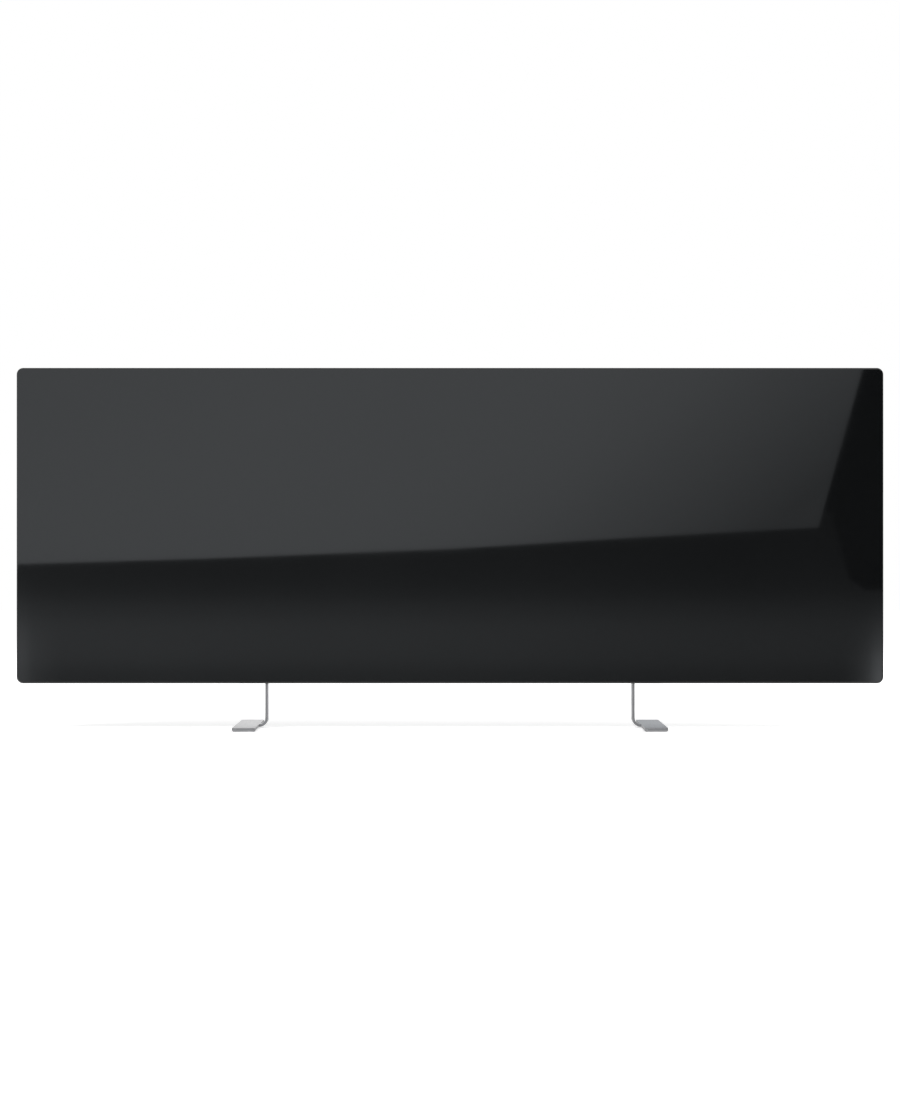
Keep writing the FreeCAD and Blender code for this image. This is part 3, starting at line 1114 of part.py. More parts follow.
def pieces():
    """Every piece of the heater by its name."""
    right_rail = rail()
    right_leg = leg()
    right_pads = foot_pads()
    return {
        "front_glass": front_glass(),
        "glass_seal": glass_seal(),
        "housing_frame": housing_frame(),
        "rear_cover": rear_cover(),
        "cover_screws": cover_screws(),
        "rail_left": mirrored(right_rail),
        "rail_right": right_rail,
        "heating_film": heating_film(),
        "heating_track": heating_track(),
        "film_lugs": film_lugs(),
        "insulation_board": insulation_board(),
        "reflector_sheet": reflector_sheet(),
        "leg_left": mirrored(right_leg),
        "leg_right": right_leg,
        "leg_screws": leg_screws(),
        "leg_nuts": leg_nuts(),
        "pads_left": mirrored(right_pads),
        "pads_right": right_pads,
        "control_fascia": control_fascia(),
        "fascia_screws": fascia_screws(),
        "control_box": control_box(),
        "display_window": display_window(),
        "display_module": display_module(),
        "control_board": control_board(),
        "tact_switches": tact_switches(),
        "button_plus": button(0),
        "button_minus": button(1),
        "button_mode": button(2),
        "rocker_body": rocker_body(),
        "rocker_key": rocker_key(),
        "rocker_blades": rocker_blades(),
        "power_relay": power_relay(),
        "gland_body": gland_body(),
        "gland_nut": gland_nut(),
        "gland_cap": gland_cap(),
        "gland_seal": gland_seal(),
        "terminal_block": terminal_block(),
        "terminal_screws": terminal_screws(),
        "earth_stud": earth_stud(),
        "air_sensor": air_sensor(),
        "thermal_cutout": thermal_cutout(),
        "live_lead": live_lead(),
        "switched_lead": switched_lead(),
        "heater_lead": heater_lead(),
        "return_lead": return_lead(),
        "earth_lead": earth_lead(),
        "sensor_lead": sensor_lead(),
    }


os.makedirs("parts", exist_ok=True)
for name, shape in pieces().items():
    shape.exportStep("parts/%s.step" % name)
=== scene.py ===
import json
import math

import bmesh
import bpy
from mathutils import Matrix, Vector


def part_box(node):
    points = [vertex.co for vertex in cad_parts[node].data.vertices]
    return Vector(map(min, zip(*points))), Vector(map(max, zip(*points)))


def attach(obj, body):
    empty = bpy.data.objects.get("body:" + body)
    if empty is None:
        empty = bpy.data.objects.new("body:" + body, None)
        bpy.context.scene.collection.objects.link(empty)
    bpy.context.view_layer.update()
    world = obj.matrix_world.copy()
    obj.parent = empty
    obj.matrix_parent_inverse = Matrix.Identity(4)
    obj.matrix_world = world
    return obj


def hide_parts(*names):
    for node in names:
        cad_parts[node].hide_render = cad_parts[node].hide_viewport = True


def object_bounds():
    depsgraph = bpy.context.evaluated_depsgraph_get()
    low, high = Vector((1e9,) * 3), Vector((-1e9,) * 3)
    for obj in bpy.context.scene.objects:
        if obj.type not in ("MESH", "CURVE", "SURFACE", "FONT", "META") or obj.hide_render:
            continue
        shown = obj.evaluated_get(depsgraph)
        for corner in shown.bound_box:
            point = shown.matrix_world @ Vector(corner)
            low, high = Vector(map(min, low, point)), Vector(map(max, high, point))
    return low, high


# Looks of a glass panel heater. Lengths are in metres, in the frame of the CAD model: X runs to the right,
# Y to the rear and Z up, with the floor at zero.
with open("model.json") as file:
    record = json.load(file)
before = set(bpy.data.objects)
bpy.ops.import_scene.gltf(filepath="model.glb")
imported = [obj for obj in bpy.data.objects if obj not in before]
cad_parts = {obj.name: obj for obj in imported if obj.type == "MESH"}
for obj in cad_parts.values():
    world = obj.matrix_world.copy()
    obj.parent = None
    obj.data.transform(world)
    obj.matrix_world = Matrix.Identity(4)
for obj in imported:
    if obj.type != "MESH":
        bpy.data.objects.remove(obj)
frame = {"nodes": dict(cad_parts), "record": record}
cad_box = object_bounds()
nodes = frame["nodes"]
glass_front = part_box("front_glass")[0].y

# Camera: level, square to the glass and opposite its middle
CAMERA_DISTANCE = 3.62
CAMERA_HEIGHT = 0.2059
LENS_MM = 102.72
SENSOR_MM = 36.0
VIEW_DEPTH = 60.0

# Light: round lamps that shine at the middle of the heater, and a floor whose lift grows, between two
# distances from its middle, up to the white around it
AMBIENT = 0.5
LAMPS = {
    "key_lamp": {"place": (-1.6, -1.8, 2.4), "size": 1.6, "power": 46.0},
    "fill_lamp": {"place": (1.8, -0.6, 2.2), "size": 1.6, "power": 26.0},
    "rear_lamp": {"place": (0.2, 2.2, 2.0), "size": 1.8, "power": 26.0},
}
FLOOR_SIZE = 14.0
FLOOR_COLOUR = (0.86, 0.86, 0.86, 1)
FLOOR_ROUGHNESS = 0.9
FLOOR_FADE = (0.9, 2.4)
FLOOR_LIFT = (0.42, 0.6)

# What the glass mirrors: a softbox whose lower and right edges show, a low glow that is brighter in both
# lower corners, and darkness elsewhere. Outlines and levels are given where they show on the glass.
CARD_DISTANCE = 1.0
CARD_STEP = 0.04
CARD_TINT = (0.955, 1.0, 1.04, 1)
CARD_REACH = 2.5
CARD_TOP = 0.7
SOFTBOX_OUTLINE = (
    (-CARD_REACH, 0.182), (-0.75, 0.182), (-0.28, 0.196), (0.0, 0.207), (0.21, 0.22), (0.425, 0.232),
    (0.476, 0.414), (0.557, CARD_TOP), (-CARD_REACH, CARD_TOP),
)
SOFTBOX_WAY = (1, -1.2)
SOFTBOX_LEVELS = ((-1.0, 1.18), (-0.55, 1.23), (-0.28, 1.15), (-0.1, 0.87), (0.09, 0.46))
GLOW_OUTLINE = (
    (-CARD_REACH, 0.03), (CARD_REACH, 0.03), (CARD_REACH, 0.158), (0.48, 0.16), (0.46, 0.173), (0.44, 0.25),
    (-CARD_REACH, 0.25),
)
GLOW_LEVELS = (
    (0.03, 0.25), (0.06, 0.36), (0.1, 0.52), (0.135, 0.4), (0.16, 0.235), (0.18, 0.18), (0.25, 0.13),
)
GLOW_FADE = ((-0.62, 1.1), (-0.05, 0.95), (0.3, 0.7), (0.62, 0.5))
LEFT_CORNER_ACROSS = ((0.45, 0.0), (0.48, 0.38), (0.495, 1.0), (0.51, 1.1), (0.55, 0.0))
LEFT_CORNER_RISE = ((0.0, 0.0), (0.04, 0.5), (0.075, 0.48), (0.14, 0.12), (0.2, 0.0))
RIGHT_CORNER_ACROSS = ((0.44, 0.0), (0.46, 0.05), (0.48, 0.33), (0.495, 0.98), (0.51, 1.2), (0.55, 0.0))
RIGHT_CORNER_RISE = ((0.0, 0.0), (0.04, 1.35), (0.075, 1.0), (0.1, 0.45), (0.14, 0.06), (0.2, 0.0))
FLAG_OUTLINE = (
    (-CARD_REACH, 0.02), (CARD_REACH, 0.02), (CARD_REACH, CARD_TOP), (-CARD_REACH, CARD_TOP),
)
FLAG_LEVEL = 0.03

# A narrow dark flag beside the glass, which its right rim mirrors, and a grey card behind the right foot
RIM_FLAG_GAP = 0.0012
RIM_FLAG_REACH = 0.006
FOOT_CARD_PLACE = 0.5
FOOT_CARD_SPAN = (0.08, 1.0)
FOOT_CARD_HEIGHT = 0.4
FOOT_CARD_LEVEL = 0.53

# Finishes: clouds and gloss patches, in grains on grained and brushed pieces and in metres on plated ones,
# the spread of the roughness, the shades of the colour and the strength of the relief
NOISE_SPAN = (0.3, 0.7)
GRAINED = {"cloud": 14, "gloss": 3, "spread": 0.06, "relief": 0.6}
BRUSHED = {"stretch": 90.0, "cloud": 120, "shades": (0.94, 1.05), "spread": 0.07, "relief": 0.5}
PLATED = {
    "spangle": 0.004, "gloss": 0.002, "grain": 0.0006, "shades": (0.86, 1.06), "spread": 0.08,
    "depth": 0.00002, "relief": 0.4,
}

# Slight wear along the edges of coated and moulded pieces, by how far the edge turns
WEAR_WIDTH = 0.0004
WEAR_PATCH = 0.012
WEAR_TURN = (0.99, 0.8)
WEAR_SHARE = (0.2, 1.0)
WEAR_SAMPLES = 6

# Cut edges of the leg plates, rougher and darker with painted shade, by how far a face turns to the front
# and rear, or to the sides
FOOT_THICKNESS = 0.003
CUT_END_TURN = (0.05, 0.4)
CUT_SIDE_TURN = (0.8, 0.95)
# Painted shade: the darker colour laid on the cut edges and on the foot's sides
CUT_EDGE_SHADE_COLOUR = (0.285, 0.285, 0.292)
CUT_EDGE_ROUGHNESS = 0.55

# Black border round the clear middle of the display window
WINDOW_BORDER = 0.0016
WINDOW_CLEARNESS = 0.95
BORDER_COLOUR = (0.008, 0.008, 0.009)

# Small bevels that catch the light on the edges of the solids
EDGE_BEVELS = {
    "leg_left": 0.0004, "leg_right": 0.0004, "rocker_body": 0.0002, "control_fascia": 0.0002,
    "button_plus": 0.0002, "button_minus": 0.0002, "button_mode": 0.0002, "rear_cover": 0.0002,
    "housing_frame": 0.0002, "gland_body": 0.0003,
}
BEVEL_ANGLE = math.radians(32)
BEVEL_SEGMENTS = 2

# Screws: shares of the head's radius and height, and the thread
RECESS_DEPTH_SHARE = 0.55
RECESS_LENGTH_SHARE = 0.5
RECESS_WIDTH_SHARE = 0.16
RECESS_MARGIN = 1.15
RECESS_TAPER = 0.8
DOME_START_SHARE = 0.35
DOME_EDGE_SHARE = 0.97
DOME_RINGS = 5
HEAD_EDGE_ANGLE = math.radians(30)
HEAD_EDGE_SHARE = 0.04
THREAD_PITCH = 0.0007
THREAD_DEPTH = 0.0002
COVER_SCREW = {"head": 0.0035, "height": 0.0022, "shank": 0.00175, "length": 0.006}
LEG_SCREW = {"head": 0.004, "height": 0.0026, "shank": 0.002, "length": 0.0089}
FASCIA_SCREW = {"head": 0.0024, "height": 0.0015, "shank": 0.0014, "length": 0.007}

# Ribbed cap of the cord inlet
CAP_RIBS = 30
CAP_RIB_STEPS = 4
CAP_RIB_DEPTH = 0.0005
CAP_RIM = 0.001
CAP_EDGE = 0.0003
CAP_BEVEL = 0.0012
CAP_END = 0.0016
CAP_WALL = 0.0018
CAP_HOLE_RADIUS = 0.0046

# Signs on the keys, whose faces are found by looking back from a little way off, and the display's digits,
# whose bars stop short of each other
SIGN_HEIGHT = 0.00012
SIGN_SIZE = 0.0042
SIGN_STROKE = 0.0007
ROCKER_SIGN_SIZE = 0.003
ROCKER_SIGN_OFFSET = 0.0036
RING_STEPS = 32
SIGHT_START = 0.1
DIGIT_WIDTH = 0.0062
DIGIT_HEIGHT = 0.0115
DIGIT_STROKE = 0.0012
DIGIT_BAR_STOP = 1.3 * DIGIT_STROKE
DIGIT_GAP = 0.0024

# Places of the two inputs and the result on a Mix node
MIX_SOCKETS = {"RGBA": (6, 7, 2), "FLOAT": (2, 3, 0)}


class Graph:
    """The nodes of a material or a world."""

    def __init__(self, tree):
        self.tree = tree

    def add(self, kind, **settings):
        node = self.tree.nodes.new(kind)
        for name, value in settings.items():
            setattr(node, name, value)
        return node

    def link(self, source, target):
        self.tree.links.new(source, target)

    def feed(self, node, values):
        """Gives a node its inputs in turn, as sockets or as plain values, and returns its outputs."""
        for value, target in zip(values, node.inputs):
            if isinstance(value, bpy.types.NodeSocket):
                self.link(value, target)
            else:
                target.default_value = value
        return node.outputs

    def calc(self, operation, *values):
        return self.feed(self.add("ShaderNodeMath", operation=operation), values)["Value"]

    def vector(self, operation, *values):
        return self.feed(self.add("ShaderNodeVectorMath", operation=operation), values)

    def axes(self, vector):
        return self.feed(self.add("ShaderNodeSeparateXYZ"), [vector])

    def ranged(self, value, source, target=(0, 1)):
        """Takes a value from one range to another and holds it at the ends."""
        node = self.add("ShaderNodeMapRange")
        for name, number in zip(("From Min", "From Max", "To Min", "To Max"), (*source, *target)):
            node.inputs[name].default_value = number
        self.link(value, node.inputs["Value"])
        return node.outputs["Result"]

    def seen_directly(self):
        """One for rays from the camera, off mirrors and through glass, and zero for soft light."""
        rays = self.add("ShaderNodeLightPath").outputs
        sharp = self.calc("MAXIMUM", rays["Is Camera Ray"], rays["Is Glossy Ray"])
        return self.calc("MAXIMUM", sharp, rays["Is Transmission Ray"])


class Surface(Graph):
    """One material: a Principled shader and the procedural nodes that feed it."""

    def __init__(self, name, **values):
        self.name = name
        self.material = bpy.data.materials.new(name)
        self.material.use_nodes = True
        super().__init__(self.material.node_tree)
        self.shader = self.tree.nodes["Principled BSDF"]
        for socket, value in values.items():
            self.shader.inputs[socket.replace("_", " ")].default_value = value
        self.place = self.add("ShaderNodeTexCoord").outputs["Object"]

    def scaled_place(self, size, stretch=(1, 1, 1)):
        mapping = self.add("ShaderNodeMapping")
        mapping.inputs["Scale"].default_value = [1 / (size * factor) for factor in stretch]
        self.link(self.place, mapping.inputs["Vector"])
        return mapping.outputs["Vector"]

    def noise(self, size, stretch=(1, 1, 1), detail=3.0):
        """Cloudy value with patches of about the given size, drawn out along the stretched axes."""
        texture = self.add("ShaderNodeTexNoise")
        texture.inputs["Scale"].default_value = 1.0
        texture.inputs["Detail"].default_value = detail
        self.link(self.scaled_place(size, stretch), texture.inputs["Vector"])
        return texture.outputs["Fac"]

    def cells(self, size):
        """Distance to the nearest of scattered points about the given size apart."""
        texture = self.add("ShaderNodeTexVoronoi")
        texture.inputs["Scale"].default_value = 1.0
        self.link(self.scaled_place(size), texture.inputs["Vector"])
        return texture.outputs["Distance"]

    def graded(self, value, low, high):
        return self.ranged(value, NOISE_SPAN, (low, high))

    def worn_edges(self):
        """Mask along the edges, broken up by cloudy patches."""
        bevel = self.add("ShaderNodeBevel", samples=WEAR_SAMPLES)
        bevel.inputs["Radius"].default_value = WEAR_WIDTH
        flat = self.add("ShaderNodeNewGeometry").outputs["Normal"]
        turn = self.vector("DOT_PRODUCT", bevel.outputs["Normal"], flat)["Value"]
        patches = self.graded(self.noise(WEAR_PATCH), *WEAR_SHARE)
        return self.calc("MULTIPLY", self.ranged(turn, WEAR_TURN), patches)

    def overlay(self, socket, share, value):
        """Covers what feeds a socket of the shader with a value, by a share from zero to one."""
        target = self.shader.inputs[socket]
        kind = "RGBA" if socket == "Base Color" else "FLOAT"
        first, second, result = MIX_SOCKETS[kind]
        mix = self.add("ShaderNodeMix", data_type=kind)
        self.link(share, mix.inputs[0])
        self.link(target.links[0].from_socket, mix.inputs[first])
        mix.inputs[second].default_value = (*value, 1) if kind == "RGBA" else value
        self.link(mix.outputs[result], target)

    def colour(self, value, dark, light, worn=None):
        """Base colour from dark to light, and the worn colour along the edges."""
        ramp = self.add("ShaderNodeValToRGB")
        for element, position, colour in zip(ramp.color_ramp.elements, NOISE_SPAN, (dark, light)):
            element.position = position
            element.color = (*colour, 1)
        self.link(value, ramp.inputs["Fac"])
        self.link(ramp.outputs["Color"], self.shader.inputs["Base Color"])
        if worn:
            self.overlay("Base Color", self.worn_edges(), worn)

    def roughness(self, value, low, high):
        self.link(self.graded(value, low, high), self.shader.inputs["Roughness"])

    def bump(self, value, depth, strength=1.0):
        node = self.add("ShaderNodeBump")
        node.inputs["Strength"].default_value = strength
        node.inputs["Distance"].default_value = depth
        self.link(value, node.inputs["Height"])
        self.link(node.outputs["Normal"], self.shader.inputs["Normal"])


def shaded(colour, factor):
    return tuple(channel * factor for channel in colour)


def grained(name, colour, rough, grain, depth, contrast=0.12, wear=None):
    """Moulded, painted or rubbery surface with a fine grain, and lighter worn edges where wear is given."""
    surface = Surface(name)
    clouds = surface.noise(grain * GRAINED["cloud"])
    worn = shaded(colour, wear) if wear else None
    surface.colour(clouds, shaded(colour, 1 - contrast), shaded(colour, 1 + contrast), worn)
    spread = GRAINED["spread"]
    surface.roughness(surface.noise(grain * GRAINED["gloss"]), rough - spread, rough + spread)
    surface.bump(surface.noise(grain), depth, GRAINED["relief"])
    return surface


def brushed(name, colour, rough, along, grain, depth):
    """Metal with fine parallel brush lines along one axis."""
    surface = Surface(name, Metallic=1.0)
    stretch = [BRUSHED["stretch"] if axis == along else 1.0 for axis in "xyz"]
    lines = surface.noise(grain, stretch, detail=2.0)
    dark, light = (shaded(colour, factor) for factor in BRUSHED["shades"])
    surface.colour(surface.noise(grain * BRUSHED["cloud"]), dark, light)
    surface.roughness(lines, rough - BRUSHED["spread"], rough + BRUSHED["spread"])
    surface.bump(lines, depth, BRUSHED["relief"])
    return surface


def leg_steel():
    """Brushed plate whose cut edges, at front and rear and along its foot, are rougher and carry painted
    shade.
    """
    surface = brushed("leg_steel", (0.55, 0.55, 0.56), 0.36, "y", 0.0004, 0.000012)
    facing = surface.axes(surface.add("ShaderNodeNewGeometry").outputs["Normal"])
    foot_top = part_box("leg_left")[0].z + FOOT_THICKNESS
    at_foot = surface.calc("LESS_THAN", surface.axes(surface.place)["Z"], foot_top)
    shaded_cut_ends = surface.ranged(surface.calc("ABSOLUTE", facing["Y"]), CUT_END_TURN)
    shaded_cut_sides = surface.ranged(surface.calc("ABSOLUTE", facing["X"]), CUT_SIDE_TURN)
    cut_and_shade = surface.calc("MAXIMUM", shaded_cut_ends, surface.calc("MULTIPLY", shaded_cut_sides, at_foot))
    # Painted shade on the cut edges: a darker colour; the higher roughness is the cut's own finish
    surface.overlay("Base Color", cut_and_shade, CUT_EDGE_SHADE_COLOUR)
    surface.overlay("Roughness", cut_and_shade, CUT_EDGE_ROUGHNESS)
    return surface


def plated(name, colour, rough):
    """Plated or mill-finish metal with a faint cloudy spangle."""
    surface = Surface(name, Metallic=1.0)
    dark, light = (shaded(colour, factor) for factor in PLATED["shades"])
    surface.colour(surface.cells(PLATED["spangle"]), dark, light)
    spread = PLATED["spread"]
    surface.roughness(surface.noise(PLATED["gloss"]), rough - spread, rough + spread)
    surface.bump(surface.noise(PLATED["grain"]), PLATED["depth"], PLATED["relief"])
    return surface


def black_glass():
    """Polished glass, painted black behind, with the faint wave of tempering."""
    surface = Surface("black_glass", IOR=1.5)
    surface.colour(surface.noise(0.25), dark=(0.0034, 0.0038, 0.0041), light=(0.0048, 0.0052, 0.0055))
    surface.roughness(surface.noise(0.06), low=0.03, high=0.04)
    surface.bump(surface.noise(0.35, detail=1.0), depth=0.00002, strength=0.25)
    return surface


def smoked_window():
    """Tinted window, clear inside a black border printed on its back."""
    surface = Surface("smoked_window", IOR=1.49)
    surface.colour(surface.noise(0.01), dark=(0.2, 0.205, 0.215), light=(0.24, 0.245, 0.255))
    surface.roughness(surface.noise(0.003), low=0.04, high=0.07)
    low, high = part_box("display_window")
    half = (high - low) / 2
    away = surface.axes(surface.vector("SUBTRACT", surface.place, (low + high) / 2)["Vector"])
    inside = [
        surface.calc("COMPARE", away[axis], 0.0, reach - WINDOW_BORDER)
        for axis, reach in (("Y", half.y), ("Z", half.z))
    ]
    clear = surface.calc("MULTIPLY", *inside)
    surface.link(surface.graded(clear, 0.0, WINDOW_CLEARNESS), surface.shader.inputs["Transmission Weight"])
    surface.overlay("Base Color", surface.calc("SUBTRACT", 1.0, clear), BORDER_COLOUR)
    return surface


def mineral_board():
    """Pressed fibres that lie mostly across the board."""
    surface = Surface("mineral_board")
    fibres = surface.noise(0.0006, stretch=(14, 1, 3), detail=4.0)
    surface.colour(fibres, dark=(0.62, 0.59, 0.5), light=(0.8, 0.77, 0.68))
    surface.roughness(surface.noise(0.002), low=0.85, high=0.95)
    surface.bump(fibres, depth=0.0003)
    return surface


def circuit_board():
    """Solder mask over faint straight tracks."""
    surface = Surface("circuit_board")
    tracks = surface.noise(0.0009, stretch=(1, 1, 22), detail=0.0)
    surface.colour(tracks, dark=(0.012, 0.11, 0.05), light=(0.03, 0.2, 0.09))
    surface.roughness(surface.noise(0.002), low=0.25, high=0.4)
    surface.bump(tracks, depth=0.00004, strength=0.7)
    return surface


# One material for each slot of the part. After the colour come the roughness, the way that brush lines run,
# the grain's size and depth, the contrast and the wear, as far as the finish has them.
SURFACES = (
    black_glass(),
    grained("silicone", (0.03, 0.03, 0.03), 0.5, 0.0012, 0.00008),
    grained("heater_film", (0.36, 0.17, 0.05), 0.35, 0.002, 0.00003),
    plated("copper", (0.72, 0.42, 0.27), 0.32),
    mineral_board(),
    brushed("aluminium_sheet", (0.78, 0.78, 0.79), 0.34, "x", 0.0003, 0.00001),
    grained("coated_steel", (0.026, 0.027, 0.029), 0.5, 0.0005, 0.00008, 0.05, 2.2),
    plated("zinc_steel", (0.6, 0.61, 0.63), 0.36),
    leg_steel(),
    plated("black_screw", (0.06, 0.06, 0.063), 0.4),
    grained("pad_rubber", (0.62, 0.62, 0.63), 0.62, 0.0006, 0.00005),
    grained("black_plastic", (0.03, 0.03, 0.032), 0.46, 0.0004, 0.00004, 0.12, 1.8),
    grained("key_plastic", (0.025, 0.025, 0.027), 0.2, 0.003, 0.00002, 0.12, 1.8),
    grained("button_plastic", (0.09, 0.09, 0.095), 0.38, 0.0005, 0.00002, 0.12, 1.5),
    smoked_window(),
    circuit_board(),
    grained("white_plastic", (0.78, 0.78, 0.74), 0.42, 0.0008, 0.00003, 0.05),
    grained("relay_plastic", (0.02, 0.05, 0.16), 0.25, 0.001, 0.00002),
    grained("red_lead", (0.42, 0.04, 0.03), 0.45, 0.001, 0.00003),
    grained("blue_lead", (0.03, 0.1, 0.36), 0.45, 0.001, 0.00003),
    grained("earth_green", (0.16, 0.4, 0.06), 0.45, 0.001, 0.00003),
    grained("grey_lead", (0.22, 0.22, 0.23), 0.45, 0.001, 0.00003),
)
FINISHES = {surface.name: surface.material for surface in SURFACES}
SIGN_INK = grained("sign_ink", (0.62, 0.62, 0.6), 0.55, 0.0006, 0.00001, 0.05).material
DIGIT_INK = grained("digit_ink", (0.2, 0.19, 0.18), 0.5, 0.0006, 0.00001).material


def finish_nodes():
    """Gives every CAD node its material and the outer ones a fine bevel."""
    for part in frame["record"]["subparts"]:
        node = nodes[part["node"]]
        node.data.materials.clear()
        node.data.materials.append(FINISHES[part["material_slot"]])
    for name, width in EDGE_BEVELS.items():
        bevel = nodes[name].modifiers.new("edge_bevel", "BEVEL")
        bevel.width = width
        bevel.segments = BEVEL_SEGMENTS
        bevel.limit_method = "ANGLE"
        bevel.angle_limit = BEVEL_ANGLE
        bevel.harden_normals = True


def new_object(name, solid, material, body):
    """Turns a finished solid into a piece that rides on a body."""
    bmesh.ops.recalc_face_normals(solid, faces=solid.faces)
    mesh = bpy.data.meshes.new(name)
    solid.to_mesh(mesh)
    solid.free()
    piece = bpy.data.objects.new(name, mesh)
    bpy.context.scene.collection.objects.link(piece)
    piece.data.materials.append(material)
    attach(piece, body)
    return piece


def bridge(solid, first, second):
    """Joins two loops of as many points with a band of faces."""
    for index in range(len(first)):
        following = (index + 1) % len(first)
        solid.faces.new((first[index], first[following], second[following], second[index]))


def cross_radius(angle, length, width):
    """How far a cross of this half length and half width reaches from its centre at an angle."""
    aside = abs((angle + math.pi / 4) % (math.pi / 2) - math.pi / 4)
    tip = math.atan2(width, length)
    return length / math.cos(aside) if aside <= tip else width / math.sin(aside)


def recess_angles(length, width):
    """Angles of a cross's corners and of points between them, all the way round."""
    tip = math.atan2(width, length)
    middle = math.pi / 4
    quarter = [0, tip, (tip + middle) / 2, middle, math.pi / 2 - (tip + middle) / 2, math.pi / 2 - tip]
    return [turn * math.pi / 2 + angle for turn in range(4) for angle in quarter]


def add_screw(solid, seat, size):
    """Adds a screw with a domed head, a cross recess and a threaded shank, and returns the head's points.

    The seat turns Z to the head."""
    head, height = size["head"], size["height"]
    length, width = head * RECESS_LENGTH_SHARE, head * RECESS_WIDTH_SHARE
    rim = height * DOME_START_SHARE
    floor = height * (1 - RECESS_DEPTH_SHARE)
    angles = recess_angles(length, width)
    cross = [cross_radius(angle, length, width) for angle in angles]

    def dome(radius):
        return rim + (height - rim) * math.sqrt(max(0.0, 1 - (radius / head) ** 2))

    def ring(reaches, level=None):
        """Points at these distances from the axis, which lie on the dome where no level is given."""
        points = []
        for reach, angle in zip(reaches, angles):
            up = dome(reach) if level is None else level
            place = Vector((reach * math.cos(angle), reach * math.sin(angle), up))
            points.append(solid.verts.new(seat @ place))
        return points

    def round_ring(radius, level=None):
        return ring([radius] * len(angles), level)

    root = size["shank"] - THREAD_DEPTH
    turns = round(size["length"] / THREAD_PITCH)
    pitch = size["length"] / turns
    shank = [round_ring(root, -size["length"])]
    for index in range(turns):
        level = (index - turns + 0.5) * pitch
        shank.append(round_ring(size["shank"], level))
        shank.append(round_ring(root, level + pitch / 2))
    outermost, innermost = head * DOME_EDGE_SHARE, length * RECESS_MARGIN
    rings = [round_ring(head, 0), round_ring(head, rim)]
    for index in range(DOME_RINGS):
        rings.append(round_ring(outermost + (innermost - outermost) * index / (DOME_RINGS - 1)))
    rings.append(ring(cross))
    rings.append(ring([reach * RECESS_TAPER for reach in cross], floor))
    for lower, upper in zip(shank + rings, shank[1:] + rings):
        bridge(solid, lower, upper)
    solid.faces.new(rings[-1])
    solid.faces.new(shank[0])
    return [point for points in rings for point in points]


def screw_set(name, node, seats, size, slot):
    """Screws that take the place of a node, with the edges of their heads softened."""
    solid = bmesh.new()
    softness = solid.edges.layers.float.new("bevel_weight_edge")
    heads = {point for seat in seats for point in add_screw(solid, seat, size)}
    bmesh.ops.recalc_face_normals(solid, faces=solid.faces)
    for edge in solid.edges:
        if heads.issuperset(edge.verts) and edge.calc_face_angle() > HEAD_EDGE_ANGLE:
            edge[softness] = 1.0
    for face in solid.faces:
        face.smooth = len(face.verts) == 4
    piece = new_object(name, solid, FINISHES[slot], "heater")
    bevel = piece.modifiers.new("soft_edges", "BEVEL")
    bevel.width = size["height"] * HEAD_EDGE_SHARE
    bevel.segments = BEVEL_SEGMENTS
    bevel.limit_method = "WEIGHT"
    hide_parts(node)


def ends(low, high, inset, count):
    """Evenly spaced places between two ends, each pulled in by the inset."""
    start, span = low + inset, high - low - 2 * inset
    return [start + span * index / (count - 1) for index in range(count)]


def add_screws():
    low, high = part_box("cover_screws")
    head = COVER_SCREW["head"]
    backward = Matrix.Rotation(-math.pi / 2, 4, "X")
    seats = [
        Matrix.Translation((x, high.y - COVER_SCREW["height"], z)) @ backward
        for x in ends(low.x, high.x, head, 3) for z in ends(low.z, high.z, head, 2)
    ]
    screw_set("cover_screw_heads", "cover_screws", seats, COVER_SCREW, "black_screw")

    low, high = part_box("leg_screws")
    head = LEG_SCREW["head"]
    downward = Matrix.Rotation(math.pi, 4, "X")
    seats = [
        Matrix.Translation((x, y, low.z + LEG_SCREW["height"])) @ downward
        for x in ends(low.x, high.x, head, 2) for y in ends(low.y, high.y, head, 2)
    ]
    screw_set("leg_screw_heads", "leg_screws", seats, LEG_SCREW, "zinc_steel")

    low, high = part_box("fascia_screws")
    sideways = Matrix.Rotation(math.pi / 2, 4, "Y")
    seats = [
        Matrix.Translation((high.x - FASCIA_SCREW["height"], (low.y + high.y) / 2, z)) @ sideways
        for z in ends(low.z, high.z, FASCIA_SCREW["head"], 2)
    ]
    screw_set("fascia_screw_heads", "fascia_screws", seats, FASCIA_SCREW, "black_screw")


def add_gland_cap():
    """Screw cap of the cord inlet, with grip ribs round its side."""
    low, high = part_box("gland_cap")
    middle = (low + high) / 2
    outer = (high.x - low.x) / 2
    inner = outer - CAP_WALL
    profile = [
        (inner, high.z, 0), (outer - CAP_EDGE, high.z, 0), (outer, high.z - CAP_EDGE, 0),
        (outer, high.z - CAP_RIM, 0), (outer, high.z - CAP_RIM - CAP_EDGE, CAP_RIB_DEPTH),
        (outer, low.z + CAP_BEVEL + CAP_EDGE * 2, CAP_RIB_DEPTH), (outer, low.z + CAP_BEVEL + CAP_EDGE, 0),
        (outer, low.z + CAP_BEVEL, 0), (outer - CAP_BEVEL, low.z, 0), (CAP_HOLE_RADIUS + CAP_EDGE, low.z, 0),
        (CAP_HOLE_RADIUS, low.z + CAP_EDGE, 0), (CAP_HOLE_RADIUS, low.z + CAP_END, 0),
        (inner, low.z + CAP_END, 0),
    ]
    steps = CAP_RIBS * CAP_RIB_STEPS
    solid = bmesh.new()
    rings = []
    for radius, z, depth in profile:
        ring = []
        for step in range(steps):
            angle = 2 * math.pi * step / steps
            reach = radius - (depth if step % CAP_RIB_STEPS < CAP_RIB_STEPS / 2 else 0)
            place = (middle.x + reach * math.cos(angle), middle.y + reach * math.sin(angle), z)
            ring.append(solid.verts.new(place))
        rings.append(ring)
    for first, second in zip(rings, rings[1:] + rings[:1]):
        bridge(solid, first, second)
    cap = new_object("ribbed_cap", solid, FINISHES["black_plastic"], "heater")
    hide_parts("gland_cap")


